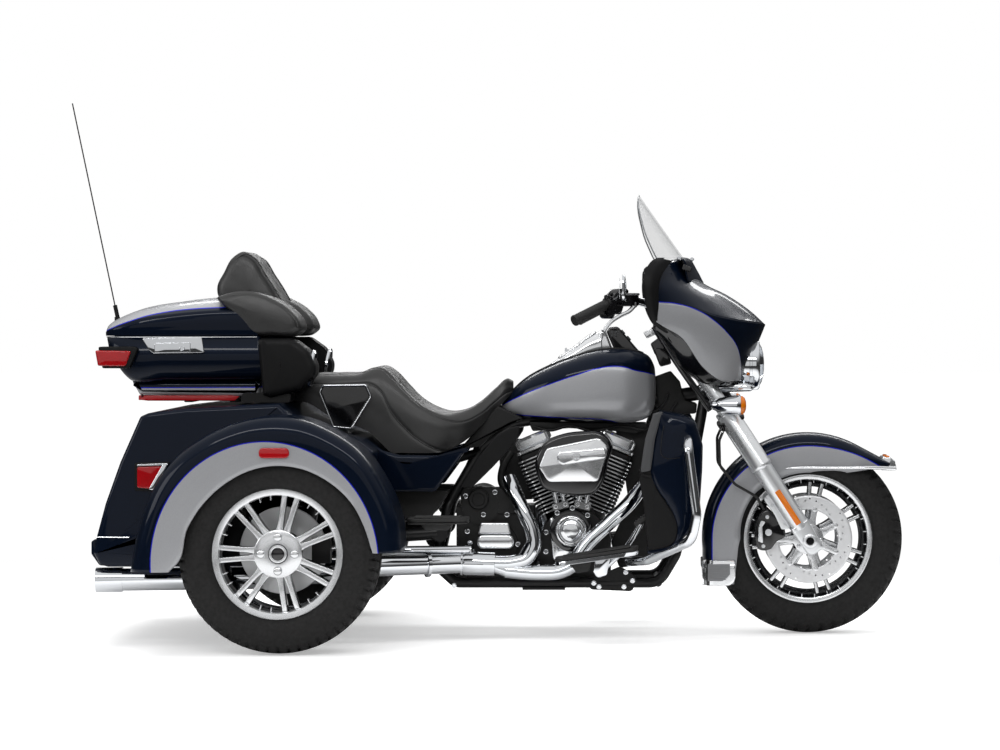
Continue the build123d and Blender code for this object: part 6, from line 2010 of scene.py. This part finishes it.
def makeStudio():
    scene = bpy.context.scene
    camera = bpy.data.cameras.new("camera")
    camera.lens = studio["lensLength"]
    camera.sensor_width = 36
    camera.shift_x, camera.shift_y = studio["shift"]
    camera.clip_end = 100
    eye = bpy.data.objects.new("camera", camera)
    scene.collection.objects.link(eye)
    eye.location = studio["cameraPlace"]
    eye.rotation_euler = (math.pi / 2, 0, 0)
    scene.camera = eye
    scene.view_settings.view_transform = "Standard"

    # pale floor: a share of it shines white to the eye, growing to all of it away from the vehicle,
    # and the rest takes light and shadow
    floorMaterial = bpy.data.materials.new("painted studio floor")
    floorMaterial.use_nodes = True
    tree = floorMaterial.node_tree
    tree.nodes.clear()
    matt = addNode(tree, "BsdfDiffuse")
    glow = addNode(tree, "Emission", {"Color": (1, 1, 1, 1), "Strength": 1.0})
    rays = addNode(tree, "LightPath")
    place = addNode(tree, "TexCoord").outputs["Object"]
    reach = addNode(tree, "VectorMath", links={0: place}, operation="LENGTH")
    far = addNode(tree, "MapRange", {"From Min": 1.5, "From Max": 4.0, "To Min": studio["floorGlow"],
                                     "To Max": 1.0},
                  {"Value": reach.outputs["Value"]}, interpolation_type="SMOOTHSTEP")
    # away from the vehicle the floor's colour darkens: painted shade, as in a studio lit only over the set, so the
    # paint reflects a dim floor
    dim = addNode(tree, "MapRange", {"From Min": 1.5, "From Max": 3.6, "To Min": 0.9, "To Max": 0.05},
                  {"Value": reach.outputs["Value"]}, interpolation_type="SMOOTHSTEP")
    tree.links.new(dim.outputs[0], matt.inputs["Color"])
    share = addNode(tree, "Math", links={0: rays.outputs["Is Camera Ray"], 1: far.outputs[0]},
                    operation="MULTIPLY")
    tree.links.new(share.outputs[0], glow.inputs["Strength"])
    both = addNode(tree, "AddShader", links={0: matt.outputs[0], 1: glow.outputs[0]})
    addNode(tree, "OutputMaterial", links={"Surface": both.outputs[0]})
    mesh = bpy.data.meshes.new("floor")
    half = 40
    mesh.from_pydata([(-half, -half, 0), (half, -half, 0), (half, half, 0), (-half, half, 0)], [], [(0, 1, 2, 3)])
    mesh.materials.append(floorMaterial)
    floor = bpy.data.objects.new("floor", mesh)
    scene.collection.objects.link(floor)

    # white to the eye and through glass; in gloss it is a bright ceiling over a dim horizon
    world = bpy.data.worlds.new("studio")
    scene.world = world
    world.use_nodes = True
    tree = world.node_tree
    tree.nodes.clear()
    direction = addNode(tree, "TexCoord").outputs["Generated"]
    xyz = addNode(tree, "SeparateXYZ", links={0: direction})
    rise = addNode(tree, "MapRange", {"From Min": 0.1, "From Max": 0.75, "To Min": 0.05, "To Max": 0.8},
                   {"Value": xyz.outputs[2]}, interpolation_type="SMOOTHSTEP")
    rays = addNode(tree, "LightPath")
    seen = addNode(tree, "Math", links={0: rays.outputs["Is Camera Ray"], 1: rays.outputs["Is Transmission Ray"]},
                   operation="MAXIMUM")
    level = addNode(tree, "Mix", {3: 1.0}, {"Factor": seen.outputs[0], 2: rise.outputs[0]}, data_type="FLOAT")
    back = addNode(tree, "Background", {"Color": (1, 1, 1, 1)}, {"Strength": level.outputs[0]})
    addNode(tree, "OutputWorld", links={"Surface": back.outputs[0]})

    areaLight("overhead softbox", (0.0, 0.0, 4.2), (0, 0, 0.5), (5.0, 2.2),
              studio["topLight"]).visible_glossy = False
    areaLight("near strip", (-0.4, -4.2, 3.2), (0, 0, 0.6), (5.0, 0.4), studio["sideLight"])
    areaLight("near card", (-1.2, -7.4, 1.5), (-0.2, 0, 0.8), (8.0, 2.6), studio["cardLight"])
    areaLight("rear card", (-4.8, -2.6, 2.0), (-0.8, 0, 0.9), (2.6, 1.8), studio["rearLight"])
    areaLight("far strip", (0.4, 4.2, 3.2), (0, 0, 0.6), (5.0, 0.4), studio["sideLight"])


makeStudio()
print("studio ready")
